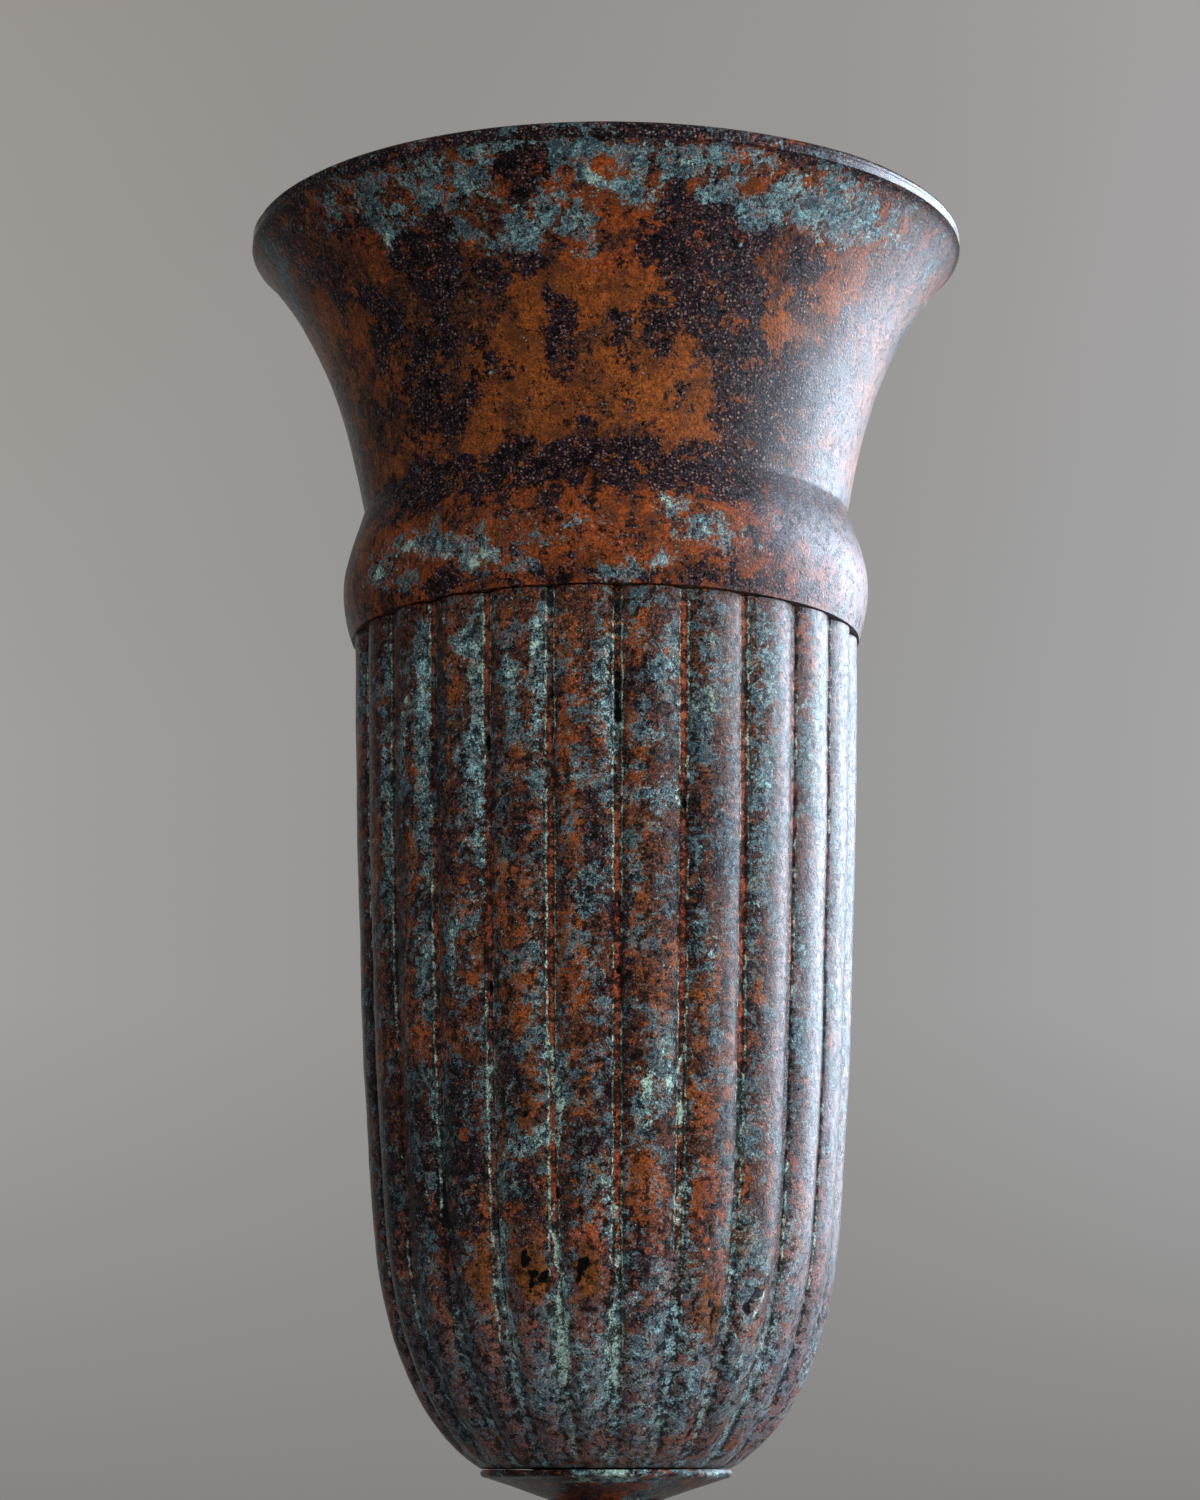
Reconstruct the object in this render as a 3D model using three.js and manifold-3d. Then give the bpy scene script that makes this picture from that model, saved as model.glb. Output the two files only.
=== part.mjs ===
import * as THREE from 'three';
import { mergeVertices } from 'three/addons/utils/BufferGeometryUtils.js';
import Module from 'manifold-3d';

// A tall cast iron vase: a reeded beaker on a stem and a round foot, with a trumpet mouth above
// a rolled collar. Sizes are in millimetres, +Z is up, and the vase stands on Z = 0.

// Fits between the pieces
const seatGap = 0.3;           // left between two faces that rest on each other
const rodGap = 0.5;            // round the tie rod in the castings and washers
const screwGap = 0.3;          // round a joint screw in its hole

// Heights of the four castings, from the foot up
const footHeight = 38;
const ledgeHeight = 83.5;      // top of the ledge that carries the beaker
const beakerHeight = 225.5;
const mouthHeight = 116;       // from the collar's joint line to the lip

// Foot
const footRadius = 65;
const plinthHeight = 8;        // upright band at the table
const edgeChamfer = 0.8;
const torusHeight = 9;         // half-round moulding above the plinth
const torusInset = 5;          // from the plinth's edge to the torus centre
const filletRadius = 56;       // small upright step that starts the hollow curve
const filletHeight = 2;
const footTopRadius = 23;
const restWidth = 9;           // width of the ring that touches the table
const footWall = 10;           // plinth thickness at the top of the hollow
const ceilingHeight = 24;      // underside of the foot where the washer seats
const ceilingRadius = 19;
const hollowShoulder = 11;     // height where the hollow's wall turns into its roof

// Stem and ledge
const beadRadius = 2.5;        // half-round ring at the stem's base
const stemBaseRadius = 19.5;
const waistRadius = 13.2;
const waistHeight = 60;
const neckRadius = 15.4;       // stem where the ledge's underside begins
const ledgeRadius = 33.7;
const ledgeEdge = 2.3;         // height of the ledge's outer band
const ledgeEdgeInset = 2;      // the band slants in by this towards its lower edge
const ledgeDrop = 5.5;         // fall of the ledge's underside from the band to the stem
const footRegisterRadius = 12;
const ledgeRegisterRadius = 16;
const registerDepth = 2.5;     // how far each casting's spigot enters the one below

// Reeded beaker
const beakerFootRadius = 33.3;
const bowlRadius = 62.8;       // where the round bottom runs into the tall wall
const bowlHeight = 60.5;
const beakerTopRadius = 70;
const beakerWall = 5;          // behind the channels
const floorThickness = 9;
const reedCount = 24;
const reedDepth = 2;
const channelWidth = 1.6;      // flat strip between two reeds, at the top
const channelTurn = 2.5;       // degrees from +X to the first channel

// Trumpet mouth and collar
const collarFootRadius = 70.6;
const collarRadius = 73.3;
const collarBulge = 14.5;      // height of the collar's widest ring above the joint line
const notchHeight = 36.5;      // groove between the collar and the trumpet
const notchRadius = 67.7;
const trumpetRadius = 99.2;    // just under the lip
const mouthWall = 4.5;
const lipRadius = 100.5;
const lipHeight = 4;
const lipRound = 1.2;
const spigotDepth = 18;
const spigotWall = 5;

// Seal and screws at the joint between beaker and mouth
const sealWidth = 2.4;
const sealThickness = 1.5;
const screwCount = 3;
const screwRadius = 2.5;
const screwHeadRadius = 4.6;
const screwHeadHeight = 2.4;
const screwBite = 4.2;         // length in the beaker's wall
const slotWidth = 1.1;
const slotDepth = 1.1;

// Tie rod, nuts, washers and gasket
const rodRadius = 5;
const rodEnd = 3;              // rod showing past each nut
const rodChamfer = 0.8;
const nutFlats = 17;
const nutHeight = 8;
const nutChamfer = 1.2;
const upperWasherRadius = 12.5;
const lowerWasherRadius = 15;
const washerThickness = 2.2;
const gasketRadius = 14;
const gasketThickness = 2;

// Facets round each turned form
const mouthSides = 60;
const footSides = 48;
const stemSides = 40;
const smallSides = 20;
const screwSides = 12;
const chordsPerReed = 4;

// Worked out from the sizes above
const jointHeight = ledgeHeight + seatGap + beakerHeight;
const beakerInnerRadius = beakerTopRadius - reedDepth - beakerWall;
const spigotRadius = beakerInnerRadius - seatGap;
const spigotInnerRadius = spigotRadius - spigotWall;
const rodHoleRadius = rodRadius + rodGap;
const reedPitch = 360 / reedCount;
const screwLength = spigotWall + seatGap + screwBite;
const stemHeight = ledgeHeight - footHeight - seatGap;

const wasm = await Module();
wasm.setup();

const at = (radius, height) => new THREE.Vector2(radius, height);

// A curve between two points; each handle is given as its share of the way across and up.
function sweep(from, firstShare, secondShare, to) {
  const handle = ([across, up]) => at(
    THREE.MathUtils.lerp(from.x, to.x, across),
    THREE.MathUtils.lerp(from.y, to.y, up),
  );
  return new THREE.CubicBezierCurve(from, handle(firstShare), handle(secondShare), to);
}

function halfRound(centreRadius, centreHeight, radius, chords) {
  const arc = new THREE.EllipseCurve(
    centreRadius, centreHeight, radius, radius, -Math.PI / 2, Math.PI / 2,
  );
  return arc.getPoints(chords);
}

// Points on the inner side of a wall whose outer face follows the curve
function innerFace(curve, chords, wall) {
  return curve.getPoints(chords).map((point, index) => {
    const tangent = curve.getTangent(index / chords);
    return at(point.x - wall * tangent.y, point.y + wall * tangent.x);
  });
}

// A solid of revolution about Z, from an outline that runs up its outer side
function turned(outline, sides) {
  const geometry = new THREE.LatheGeometry(outline, sides);
  return geometry.rotateX(Math.PI / 2);
}

function ringOutline(innerRadius, outerRadius, bottom, top) {
  return [
    at(innerRadius, bottom),
    at(outerRadius, bottom),
    at(outerRadius, top),
    at(innerRadius, top),
    at(innerRadius, bottom),
  ];
}

function solid(geometry) {
  const bare = geometry.clone();
  bare.deleteAttribute('normal');
  bare.deleteAttribute('uv');
  const merged = mergeVertices(bare, 1e-4);
  return new wasm.Manifold(new wasm.Mesh({
    numProp: 3,
    vertProperties: new Float32Array(merged.attributes.position.array),
    triVerts: new Uint32Array(merged.index.array),
  }));
}

function geometryOf(manifold) {
  const mesh = manifold.getMesh();
  const geometry = new THREE.BufferGeometry();
  geometry.setAttribute('position', new THREE.BufferAttribute(mesh.vertProperties, 3));
  geometry.setIndex(new THREE.BufferAttribute(mesh.triVerts, 1));
  geometry.computeVertexNormals();
  return geometry;
}

// Turns a form that lies along Z to point out from the vase's axis
function outward(geometry, radius, height, degrees) {
  return geometry
    .rotateY(-Math.PI / 2)
    .translate(radius, 0, height)
    .rotateZ(THREE.MathUtils.degToRad(degrees));
}

const screwAngle = (index) => (
  channelTurn + (Math.floor(index * reedCount / screwCount) + 0.5) * reedPitch
);

// A joint screw with its head at Z = 0, or the hole for one when it is given a margin
function screwOutline(margin) {
  const headTop = margin > 0 ? spigotWall / 2 : 0;
  return [
    at(0, -screwLength - margin),
    at(screwRadius + margin, -screwLength - margin),
    at(screwRadius + margin, -screwHeadHeight - margin),
    at(screwHeadRadius + margin, -margin),
    at(screwHeadRadius + margin, headTop + margin),
    at(0, headTop + margin),
  ];
}

function screwHoles(height) {
  const holes = Array.from({ length: screwCount }, (_, index) => solid(
    outward(turned(screwOutline(screwGap), screwSides), spigotInnerRadius, height, screwAngle(index)),
  ));
  return holes.reduce((all, hole) => all.add(hole));
}

// Foot: plinth, torus, fillet and hollow curve outside, and a hollow underside
function footGeometry() {
  const torusRadius = torusHeight / 2;
  const filletFoot = plinthHeight + torusHeight;
  const cove = sweep(
    at(filletRadius, filletFoot + filletHeight), [0.35, 0.02], [0.9, 0.4],
    at(footTopRadius, footHeight),
  );
  const registerFloor = footHeight - registerDepth - seatGap;
  const outline = [
    at(footRadius - restWidth, 0),
    at(footRadius - edgeChamfer, 0),
    at(footRadius, edgeChamfer),
    at(footRadius, plinthHeight - edgeChamfer),
    at(footRadius - edgeChamfer, plinthHeight),
    ...halfRound(footRadius - torusInset, plinthHeight + torusRadius, torusRadius, 5),
    at(filletRadius, filletFoot),
    ...cove.getPoints(6),
    at(footRegisterRadius + seatGap, footHeight),
    at(footRegisterRadius + seatGap, registerFloor),
    at(rodHoleRadius, registerFloor),
    at(rodHoleRadius, ceilingHeight),
    at(ceilingRadius, ceilingHeight),
    at(footRadius - footWall, hollowShoulder),
    at(footRadius - restWidth, 0),
  ];
  return turned(outline, footSides);
}

// Stem and ledge, with Z = 0 at the shoulder that stands on the foot
function stemGeometry() {
  const waist = at(waistRadius, waistHeight - footHeight - seatGap);
  const bandFoot = stemHeight - ledgeEdge;
  const lower = sweep(at(stemBaseRadius, 2 * beadRadius), [0.8, 0.15], [1, 0.5], waist);
  const upper = sweep(waist, [0, 0.5], [0.2, 0.85], at(neckRadius, bandFoot - ledgeDrop));
  const outline = [
    at(rodHoleRadius, -registerDepth),
    at(footRegisterRadius, -registerDepth),
    at(footRegisterRadius, 0),
    ...halfRound(stemBaseRadius, beadRadius, beadRadius, 4),
    ...lower.getPoints(5).slice(1),
    ...upper.getPoints(5).slice(1),
    at(ledgeRadius - ledgeEdgeInset, bandFoot),
    at(ledgeRadius - ledgeEdgeInset / 2, bandFoot + ledgeEdge / 8),
    at(ledgeRadius, stemHeight - ledgeEdge / 3),
    at(ledgeRadius - ledgeEdge / 6, stemHeight),
    at(ledgeRegisterRadius + seatGap, stemHeight),
    at(ledgeRegisterRadius + seatGap, stemHeight - registerDepth - seatGap),
    at(rodHoleRadius, stemHeight - registerDepth - seatGap),
    at(rodHoleRadius, -registerDepth),
  ];
  return turned(outline, stemSides);
}

// Moves the columns of a turned form to the edges and backs of the reeds
function raiseReeds(geometry) {
  const position = geometry.attributes.position;
  const channelShare = channelWidth / (2 * Math.PI * beakerTopRadius / reedCount);
  const columns = reedCount * (chordsPerReed + 1);
  for (let index = 0; index < position.count; index += 1) {
    const radius = Math.hypot(position.getX(index), position.getY(index));
    const angle = Math.atan2(position.getY(index), position.getX(index));
    const column = Math.round(angle * columns / (2 * Math.PI)) + columns;
    const reed = Math.floor(column / (chordsPerReed + 1));
    const across = (column % (chordsPerReed + 1)) / chordsPerReed;
    const turn = channelShare / 2 + across * (1 - channelShare);
    const newAngle = THREE.MathUtils.degToRad(channelTurn + (reed + turn) * reedPitch);
    const depth = reedDepth * (radius / beakerTopRadius) * (2 * across - 1) ** 2;
    position.setX(index, (radius - depth) * Math.cos(newAngle));
    position.setY(index, (radius - depth) * Math.sin(newAngle));
  }
  return geometry;
}

// Beaker, with Z = 0 at the face that stands on the ledge
function beakerGeometry() {
  const foot = at(beakerFootRadius, 0);
  const shoulder = at(bowlRadius, bowlHeight);
  const bowl = sweep(foot, [0.49, 0.13], [0.88, 0.46], shoulder);
  const wall = sweep(shoulder, [0.54, 0.23], [0.86, 0.65], at(beakerTopRadius, beakerHeight));
  const outside = [
    at(0, 0),
    ...bowl.getPoints(8),
    ...wall.getPoints(6).slice(1),
    at(0, beakerHeight),
  ];
  const behindReeds = reedDepth + beakerWall;
  const inside = [
    ...innerFace(bowl, 8, behindReeds),
    ...innerFace(wall, 6, behindReeds).slice(1, -1),
  ].filter((point) => point.y > floorThickness);
  const hollow = [
    at(0, floorThickness),
    at(inside[0].x - beakerWall, floorThickness),
    ...inside,
    at(beakerInnerRadius, beakerHeight - spigotDepth - beakerWall),
    at(beakerInnerRadius, beakerHeight + seatGap),
    at(0, beakerHeight + seatGap),
  ];
  const register = ringOutline(rodHoleRadius, ledgeRegisterRadius, -registerDepth, beakerWall);
  const rodHole = [
    at(0, -registerDepth - seatGap),
    at(rodHoleRadius, -registerDepth - seatGap),
    at(rodHoleRadius, floorThickness + seatGap),
    at(0, floorThickness + seatGap),
  ];
  const rebate = ringOutline(
    beakerInnerRadius - beakerWall, beakerInnerRadius + sealWidth + seatGap,
    beakerHeight - sealThickness - seatGap, beakerHeight + seatGap,
  );
  return geometryOf(
    solid(raiseReeds(turned(outside, reedCount * (chordsPerReed + 1))))
      .subtract(solid(turned(hollow, mouthSides)))
      .add(solid(turned(register, stemSides)))
      .subtract(solid(turned(rodHole, smallSides)))
      .subtract(solid(turned(rebate, mouthSides)))
      .subtract(screwHoles(beakerHeight - spigotDepth / 2)),
  );
}

// Trumpet mouth with its collar and spigot, with Z = 0 at the joint line
function mouthGeometry() {
  const notch = at(notchRadius, notchHeight);
  const widest = at(collarRadius, collarBulge);
  const lipFoot = mouthHeight - lipHeight;
  const collarBelow = sweep(at(collarFootRadius, seatGap), [0.5, 0.25], [1, 0.6], widest);
  const collarAbove = sweep(widest, [0, 0.33], [0.55, 0.62], notch);
  const trumpet = sweep(notch, [0.152, 0.343], [0.389, 0.708], at(trumpetRadius, lipFoot - 1));
  const inside = innerFace(trumpet, 8, mouthWall).reverse();
  const throat = sweep(inside[inside.length - 1], [0.1, 0.4], [1, 0.5], at(spigotInnerRadius, seatGap));
  const outline = [
    at(spigotRadius, -spigotDepth),
    at(spigotRadius, seatGap),
    ...collarBelow.getPoints(3),
    ...collarAbove.getPoints(4).slice(1),
    ...trumpet.getPoints(8).slice(1),
    at(lipRadius, lipFoot),
    at(lipRadius, mouthHeight - lipRound),
    at(lipRadius - lipRound * 0.3, mouthHeight - lipRound * 0.3),
    at(lipRadius - lipRound, mouthHeight),
    at(inside[0].x + lipRound, mouthHeight),
    ...inside,
    ...throat.getPoints(3).slice(1),
    at(spigotInnerRadius, -spigotDepth),
    at(spigotRadius, -spigotDepth),
  ];
  return geometryOf(solid(turned(outline, mouthSides)).subtract(screwHoles(-spigotDepth / 2)));
}

function sealGeometry() {
  const inner = spigotRadius + seatGap;
  return turned(ringOutline(inner, beakerInnerRadius + sealWidth, -sealThickness, 0), mouthSides);
}

function screwGeometry() {
  const slot = new THREE.BoxGeometry(slotWidth, 3 * screwHeadRadius, 2 * slotDepth);
  return geometryOf(solid(turned(screwOutline(0), screwSides)).subtract(solid(slot)));
}

function rodGeometry(length) {
  const outline = [
    at(0, 0),
    at(rodRadius - rodChamfer, 0),
    at(rodRadius, rodChamfer),
    at(rodRadius, length - rodChamfer),
    at(rodRadius - rodChamfer, length),
    at(0, length),
  ];
  return turned(outline, smallSides);
}

function hexagon() {
  const cornerRadius = nutFlats / Math.sqrt(3);
  const corners = Array.from({ length: 6 }, (_, index) => {
    const angle = index * Math.PI / 3;
    return at(cornerRadius * Math.cos(angle), cornerRadius * Math.sin(angle));
  });
  return new THREE.Shape(corners);
}

// A hexagonal nut with both ends chamfered at the corners
function nutGeometry() {
  const corner = nutFlats / Math.sqrt(3);
  const block = new THREE.ExtrudeGeometry(hexagon(), { depth: nutHeight, bevelEnabled: false });
  const chamfered = [
    at(rodRadius + seatGap, 0),
    at(nutFlats / 2, 0),
    at(corner + seatGap, nutChamfer),
    at(corner + seatGap, nutHeight - nutChamfer),
    at(nutFlats / 2, nutHeight),
    at(rodRadius + seatGap, nutHeight),
    at(rodRadius + seatGap, 0),
  ];
  return geometryOf(solid(block).intersect(solid(turned(chamfered, smallSides))));
}

function washerGeometry(radius, thickness) {
  return turned(ringOutline(rodHoleRadius, radius, 0, thickness), smallSides);
}

const patinatedIron = (color) => (
  new THREE.MeshStandardMaterial({ color, roughness: 0.72, metalness: 0.45 })
);
const plainSteel = () => (
  new THREE.MeshStandardMaterial({ color: 0x6d665f, roughness: 0.5, metalness: 0.9 })
);
const softSeal = (color) => (
  new THREE.MeshStandardMaterial({ color, roughness: 0.9, metalness: 0 })
);

function place(parent, name, geometry, material, height) {
  const mesh = new THREE.Mesh(geometry, material);
  mesh.name = name;
  mesh.position.z = height;
  parent.add(mesh);
  return mesh;
}

const vase = new THREE.Group();
place(vase, 'foot_casting', footGeometry(), patinatedIron(0x5a3d2c), 0);
place(vase, 'stem_casting', stemGeometry(), patinatedIron(0x6a4630), footHeight + seatGap);
place(vase, 'body_casting', beakerGeometry(), patinatedIron(0x74452a), ledgeHeight + seatGap);

// Everything at the joint line hangs in one group
const joint = new THREE.Group();
joint.position.z = jointHeight;
vase.add(joint);
place(joint, 'mouth_casting', mouthGeometry(), patinatedIron(0x5c5148), 0);
place(joint, 'joint_seal', sealGeometry(), softSeal(0x2a2622), 0);
for (let index = 0; index < screwCount; index += 1) {
  const holder = new THREE.Group();
  holder.rotation.z = THREE.MathUtils.degToRad(screwAngle(index));
  joint.add(holder);
  const screw = place(holder, `joint_screw_${index + 1}`, screwGeometry(), plainSteel(), -spigotDepth / 2);
  screw.rotation.y = -Math.PI / 2;
  screw.position.x = spigotInnerRadius;
}

// The rod's hardware, stacked up from the beaker's floor and down from the foot's ceiling
const gasketHeight = ledgeHeight + seatGap + floorThickness + seatGap;
const upperWasherHeight = gasketHeight + gasketThickness + seatGap;
const upperNutHeight = upperWasherHeight + washerThickness + seatGap;
const lowerWasherHeight = ceilingHeight - seatGap - washerThickness;
const lowerNutHeight = lowerWasherHeight - seatGap - nutHeight;
const rodFoot = lowerNutHeight - rodEnd;
const rodLength = upperNutHeight + nutHeight + rodEnd - rodFoot;
place(vase, 'tie_rod', rodGeometry(rodLength), plainSteel(), rodFoot);
place(vase, 'floor_gasket', washerGeometry(gasketRadius, gasketThickness), softSeal(0x3a2a20), gasketHeight);
place(vase, 'upper_washer', washerGeometry(upperWasherRadius, washerThickness), plainSteel(), upperWasherHeight);
place(vase, 'upper_nut', nutGeometry(), plainSteel(), upperNutHeight);
place(vase, 'lower_washer', washerGeometry(lowerWasherRadius, washerThickness), plainSteel(), lowerWasherHeight);
place(vase, 'lower_nut', nutGeometry(), plainSteel(), lowerNutHeight);

export default vase;
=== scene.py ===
import math
import random

import bpy
import numpy as np
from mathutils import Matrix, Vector


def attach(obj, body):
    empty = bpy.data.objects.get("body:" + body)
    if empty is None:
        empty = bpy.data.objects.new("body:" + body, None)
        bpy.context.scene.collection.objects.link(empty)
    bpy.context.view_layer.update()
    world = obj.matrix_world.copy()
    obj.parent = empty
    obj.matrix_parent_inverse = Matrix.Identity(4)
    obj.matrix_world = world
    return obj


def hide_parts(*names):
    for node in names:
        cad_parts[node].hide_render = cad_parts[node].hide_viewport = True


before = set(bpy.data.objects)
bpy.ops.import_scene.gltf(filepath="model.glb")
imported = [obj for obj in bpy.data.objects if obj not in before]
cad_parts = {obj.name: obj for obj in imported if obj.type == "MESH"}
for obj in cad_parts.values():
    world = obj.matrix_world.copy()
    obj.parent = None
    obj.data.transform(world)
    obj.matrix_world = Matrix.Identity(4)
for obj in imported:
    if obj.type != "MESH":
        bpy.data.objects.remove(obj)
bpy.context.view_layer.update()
mm = 0.001
samePoint = 1e-6  # mm
everywhere = (-180, 180)
hashFactors, seedFactor, mixFactor = (374761393, 668265263, 1013904223), 69069, 1274126177


# Curve between two (radius, height) points; its handles are shares of the way across and up
def sweep(start, firstShare, secondShare, end):
    start, end = np.array(start, float), np.array(end, float)
    first = start + (end - start) * firstShare
    second = start + (end - start) * secondShare
    t = np.linspace(0, 1, 200)[:, None]
    back = 1 - t
    return back ** 3 * start + 3 * back ** 2 * t * first + 3 * back * t ** 2 * second + t ** 3 * end


def arc(centre, radius, fromAngle, toAngle):
    t = np.radians(np.linspace(fromAngle, toAngle, 60))
    return np.stack([centre[0] + radius * np.cos(t), centre[1] + radius * np.sin(t)], 1)


def innerFace(curve, wall):
    tangent = np.gradient(curve, axis=0)
    tangent /= np.linalg.norm(tangent, axis=1)[:, None]
    return curve + wall * np.stack([-tangent[:, 1], tangent[:, 0]], 1)


# The same path with its points about one step apart
def spaced(points, step):
    points = np.array(points, float)
    along = np.concatenate([[0], np.cumsum(np.linalg.norm(np.diff(points, axis=0), axis=1))])
    marks = np.linspace(0, along[-1], max(1, round(along[-1] / step)) + 1)
    return np.stack([np.interp(marks, along, points[:, k]) for k in (0, 1)], 1)


# Joins (points, step) runs into one closed outline, without the points that two runs share
def outlineOf(*runs):
    rows = np.concatenate([spaced(points, step) for points, step in runs])
    apart = np.linalg.norm(rows - np.roll(rows, -1, axis=0), axis=1) >= samePoint
    return rows[apart]


# Even noise in space, from -1 to 1, the same on every run
def softNoise(points, size, seed):
    cell = np.floor(points / size).astype(np.int64)
    part = points / size - cell
    part = part * part * (3 - 2 * part)
    total = np.zeros(points.shape[:-1])
    for corner in range(8):
        offset = np.array([corner & 1, corner >> 1 & 1, corner >> 2 & 1])
        spot = cell + offset
        key = sum(spot[..., k] * hashFactors[k] for k in range(3)) + seed * seedFactor
        key = key & 0xffffffff
        key = ((key ^ (key >> 13)) * mixFactor) & 0xffffffff
        value = ((key ^ (key >> 16)) & 0xffff) / 65535
        total += value * np.prod(np.where(offset == 1, part, 1 - part), axis=-1)
    return total * 2 - 1


def smooth(value, low, high):
    t = np.clip((value - low) / (high - low), 0, 1)
    return t * t * (3 - 2 * t)


# A casting as rows of an outline turned through columns of angles. It keeps each vertex's
# place as degrees from the front, positive to the right, and height in millimetres.
class Casting:
    def __init__(self, outline, columnAngles):
        self.outline = outline
        ahead = np.roll(outline, -1, axis=0) - np.roll(outline, 1, axis=0)
        ahead /= np.linalg.norm(ahead, axis=1)[:, None]
        self.normal = np.stack([ahead[:, 1], -ahead[:, 0]], 1)
        self.angle = np.broadcast_to(columnAngles[None, :], (len(outline), len(columnAngles)))
        self.radius = np.repeat(outline[:, :1], len(columnAngles), 1)
        self.height = np.repeat(outline[:, 1:], len(columnAngles), 1)
        self.degrees = (self.angle + 90 + 180) % 360 - 180
        self.paints = {}

    def place(self):
        turn = np.radians(self.angle)
        return np.stack([self.radius * np.cos(turn), self.radius * np.sin(turn), self.height], -1)

    def push(self, depth):
        self.radius = self.radius + depth * self.normal[:, :1]
        self.height = self.height + depth * self.normal[:, 1:]

    # Noise from (size in mm, amount) layers
    def roughen(self, layers, seed):
        place = self.place()
        return sum(amount * softNoise(place, size, seed + k) for k, (size, amount) in enumerate(layers))

    # Lays spots over an even base, each kind of paint with its own lists
    def paintSpots(self, base, degrees, height, spotLists):
        for name, spots in spotLists.items():
            self.paints[name] = 1 - (1 - base[name]) * (1 - spotted(degrees, height, spots))

    def add(self, name, amount):
        self.paints[name] = np.clip(self.paints[name] + amount, 0, 1)

    def thin(self, name, amount):
        self.paints[name] = self.paints[name] * (1 - amount)

    def blank(self, *names):
        for name in names:
            self.paints[name] = np.zeros(self.radius.shape)

    def build(self, name):
        rows, columns = self.radius.shape
        place = self.place() * mm
        index = np.arange(rows * columns).reshape(rows, columns)
        right = np.roll(index, -1, axis=1)
        up = np.roll(index, -1, axis=0)
        upRight = np.roll(up, -1, axis=1)
        faces = np.stack([index, right, upRight, up], -1).reshape(-1, 4)
        mesh = bpy.data.meshes.new(name)
        mesh.from_pydata(place.reshape(-1, 3).tolist(), [], faces.tolist())
        mesh.polygons.foreach_set("use_smooth", [True] * len(faces))
        mesh.set_sharp_from_angle(angle=math.radians(38))
        for paintName, amount in self.paints.items():
            layer = mesh.attributes.new(paintName, "FLOAT", "POINT")
            layer.data.foreach_set("value", np.clip(amount, 0, 1).astype(np.float32).ravel())
        made = bpy.data.objects.new(name, mesh)
        bpy.context.scene.collection.objects.link(made)
        return made


# Adds up spots of (degrees, height, half width in degrees, half height in mm, strength)
def spotted(degrees, height, spots):
    left = np.ones(degrees.shape)
    for spotDegrees, spotHeight, halfWidth, halfHeight, strength in spots:
        across = (degrees - spotDegrees + 180) % 360 - 180
        away = np.sqrt((across / halfWidth) ** 2 + ((height - spotHeight) / halfHeight) ** 2)
        left *= 1 - strength * (1 - smooth(away, 0.55, 1.45))
    return 1 - left


# Spots placed by chance round the sides and back that the photograph doesn't show
def chanceSpots(seed, count, heights, halfWidth, halfHeight, strength, around=(75, 285)):
    chance = random.Random(seed)
    return [
        (
            chance.uniform(*around), chance.uniform(*heights),
            halfWidth * chance.uniform(0.5, 1.5), halfHeight * chance.uniform(0.5, 1.5),
            strength * chance.uniform(0.6, 1.1),
        )
        for _ in range(count)
    ]


# Degrees and heights that wander a little, so that the spots' edges do too
def wandering(casting, seed):
    place = casting.place()
    wide = [softNoise(place, 13, seed + k) for k in (0, 2)]
    fine = [softNoise(place, 4.5, seed + k) for k in (1, 3)]
    degrees = casting.degrees + 1.8 * wide[0] + 0.9 * fine[0]
    height = casting.height + 3 * wide[1] + 1.3 * fine[1]
    return degrees, height


# A colour as it shows on a screen, 0 to 255
def tone(red, green, blue):
    shares = (red / 255, green / 255, blue / 255)
    linear = [c / 12.92 if c <= 0.04045 else ((c + 0.055) / 1.055) ** 2.4 for c in shares]
    return (*linear, 1)


# Adds a node: plain values are set on its sockets, and sockets of other nodes are linked
def addNode(tree, kind, sockets=None, **settings):
    made = tree.nodes.new(kind)
    for name, value in settings.items():
        setattr(made, name, value)
    for name, value in (sockets or {}).items():
        if isinstance(value, bpy.types.NodeSocket):
            tree.links.new(value, made.inputs[name])
        else:
            made.inputs[name].default_value = value
    return made


def objectPlace(tree):
    return addNode(tree, "ShaderNodeTexCoord").outputs["Object"]


def calc(tree, operation, *values):
    return addNode(tree, "ShaderNodeMath", dict(enumerate(values)), operation=operation).outputs[0]


def vectorCalc(tree, operation, *values):
    made = addNode(tree, "ShaderNodeVectorMath", dict(enumerate(values)), operation=operation)
    return made.outputs["Value" if operation == "LENGTH" else "Vector"]


def mixTone(tree, share, first, second, how="MIX"):
    sockets = {0: share, 6: first, 7: second}  # the colour sockets of the mix node
    return addNode(tree, "ShaderNodeMix", sockets, data_type="RGBA", blend_type=how).outputs[2]


def ranged(tree, value, fromLow, fromHigh, toLow=0.0, toHigh=1.0, **settings):
    return addNode(tree, "ShaderNodeMapRange", {
        "Value": value, "From Min": fromLow, "From Max": fromHigh, "To Min": toLow, "To Max": toHigh,
    }, **settings).outputs[0]


def noiseOf(tree, place, scale, detail=4.0, roughness=0.55, distortion=0.0):
    return addNode(tree, "ShaderNodeTexNoise", {
        "Vector": place, "Scale": scale, "Detail": detail, "Roughness": roughness,
        "Distortion": distortion,
    }).outputs[0]


def paintOf(tree, name):
    return addNode(tree, "ShaderNodeAttribute", attribute_name=name).outputs["Fac"]


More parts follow.
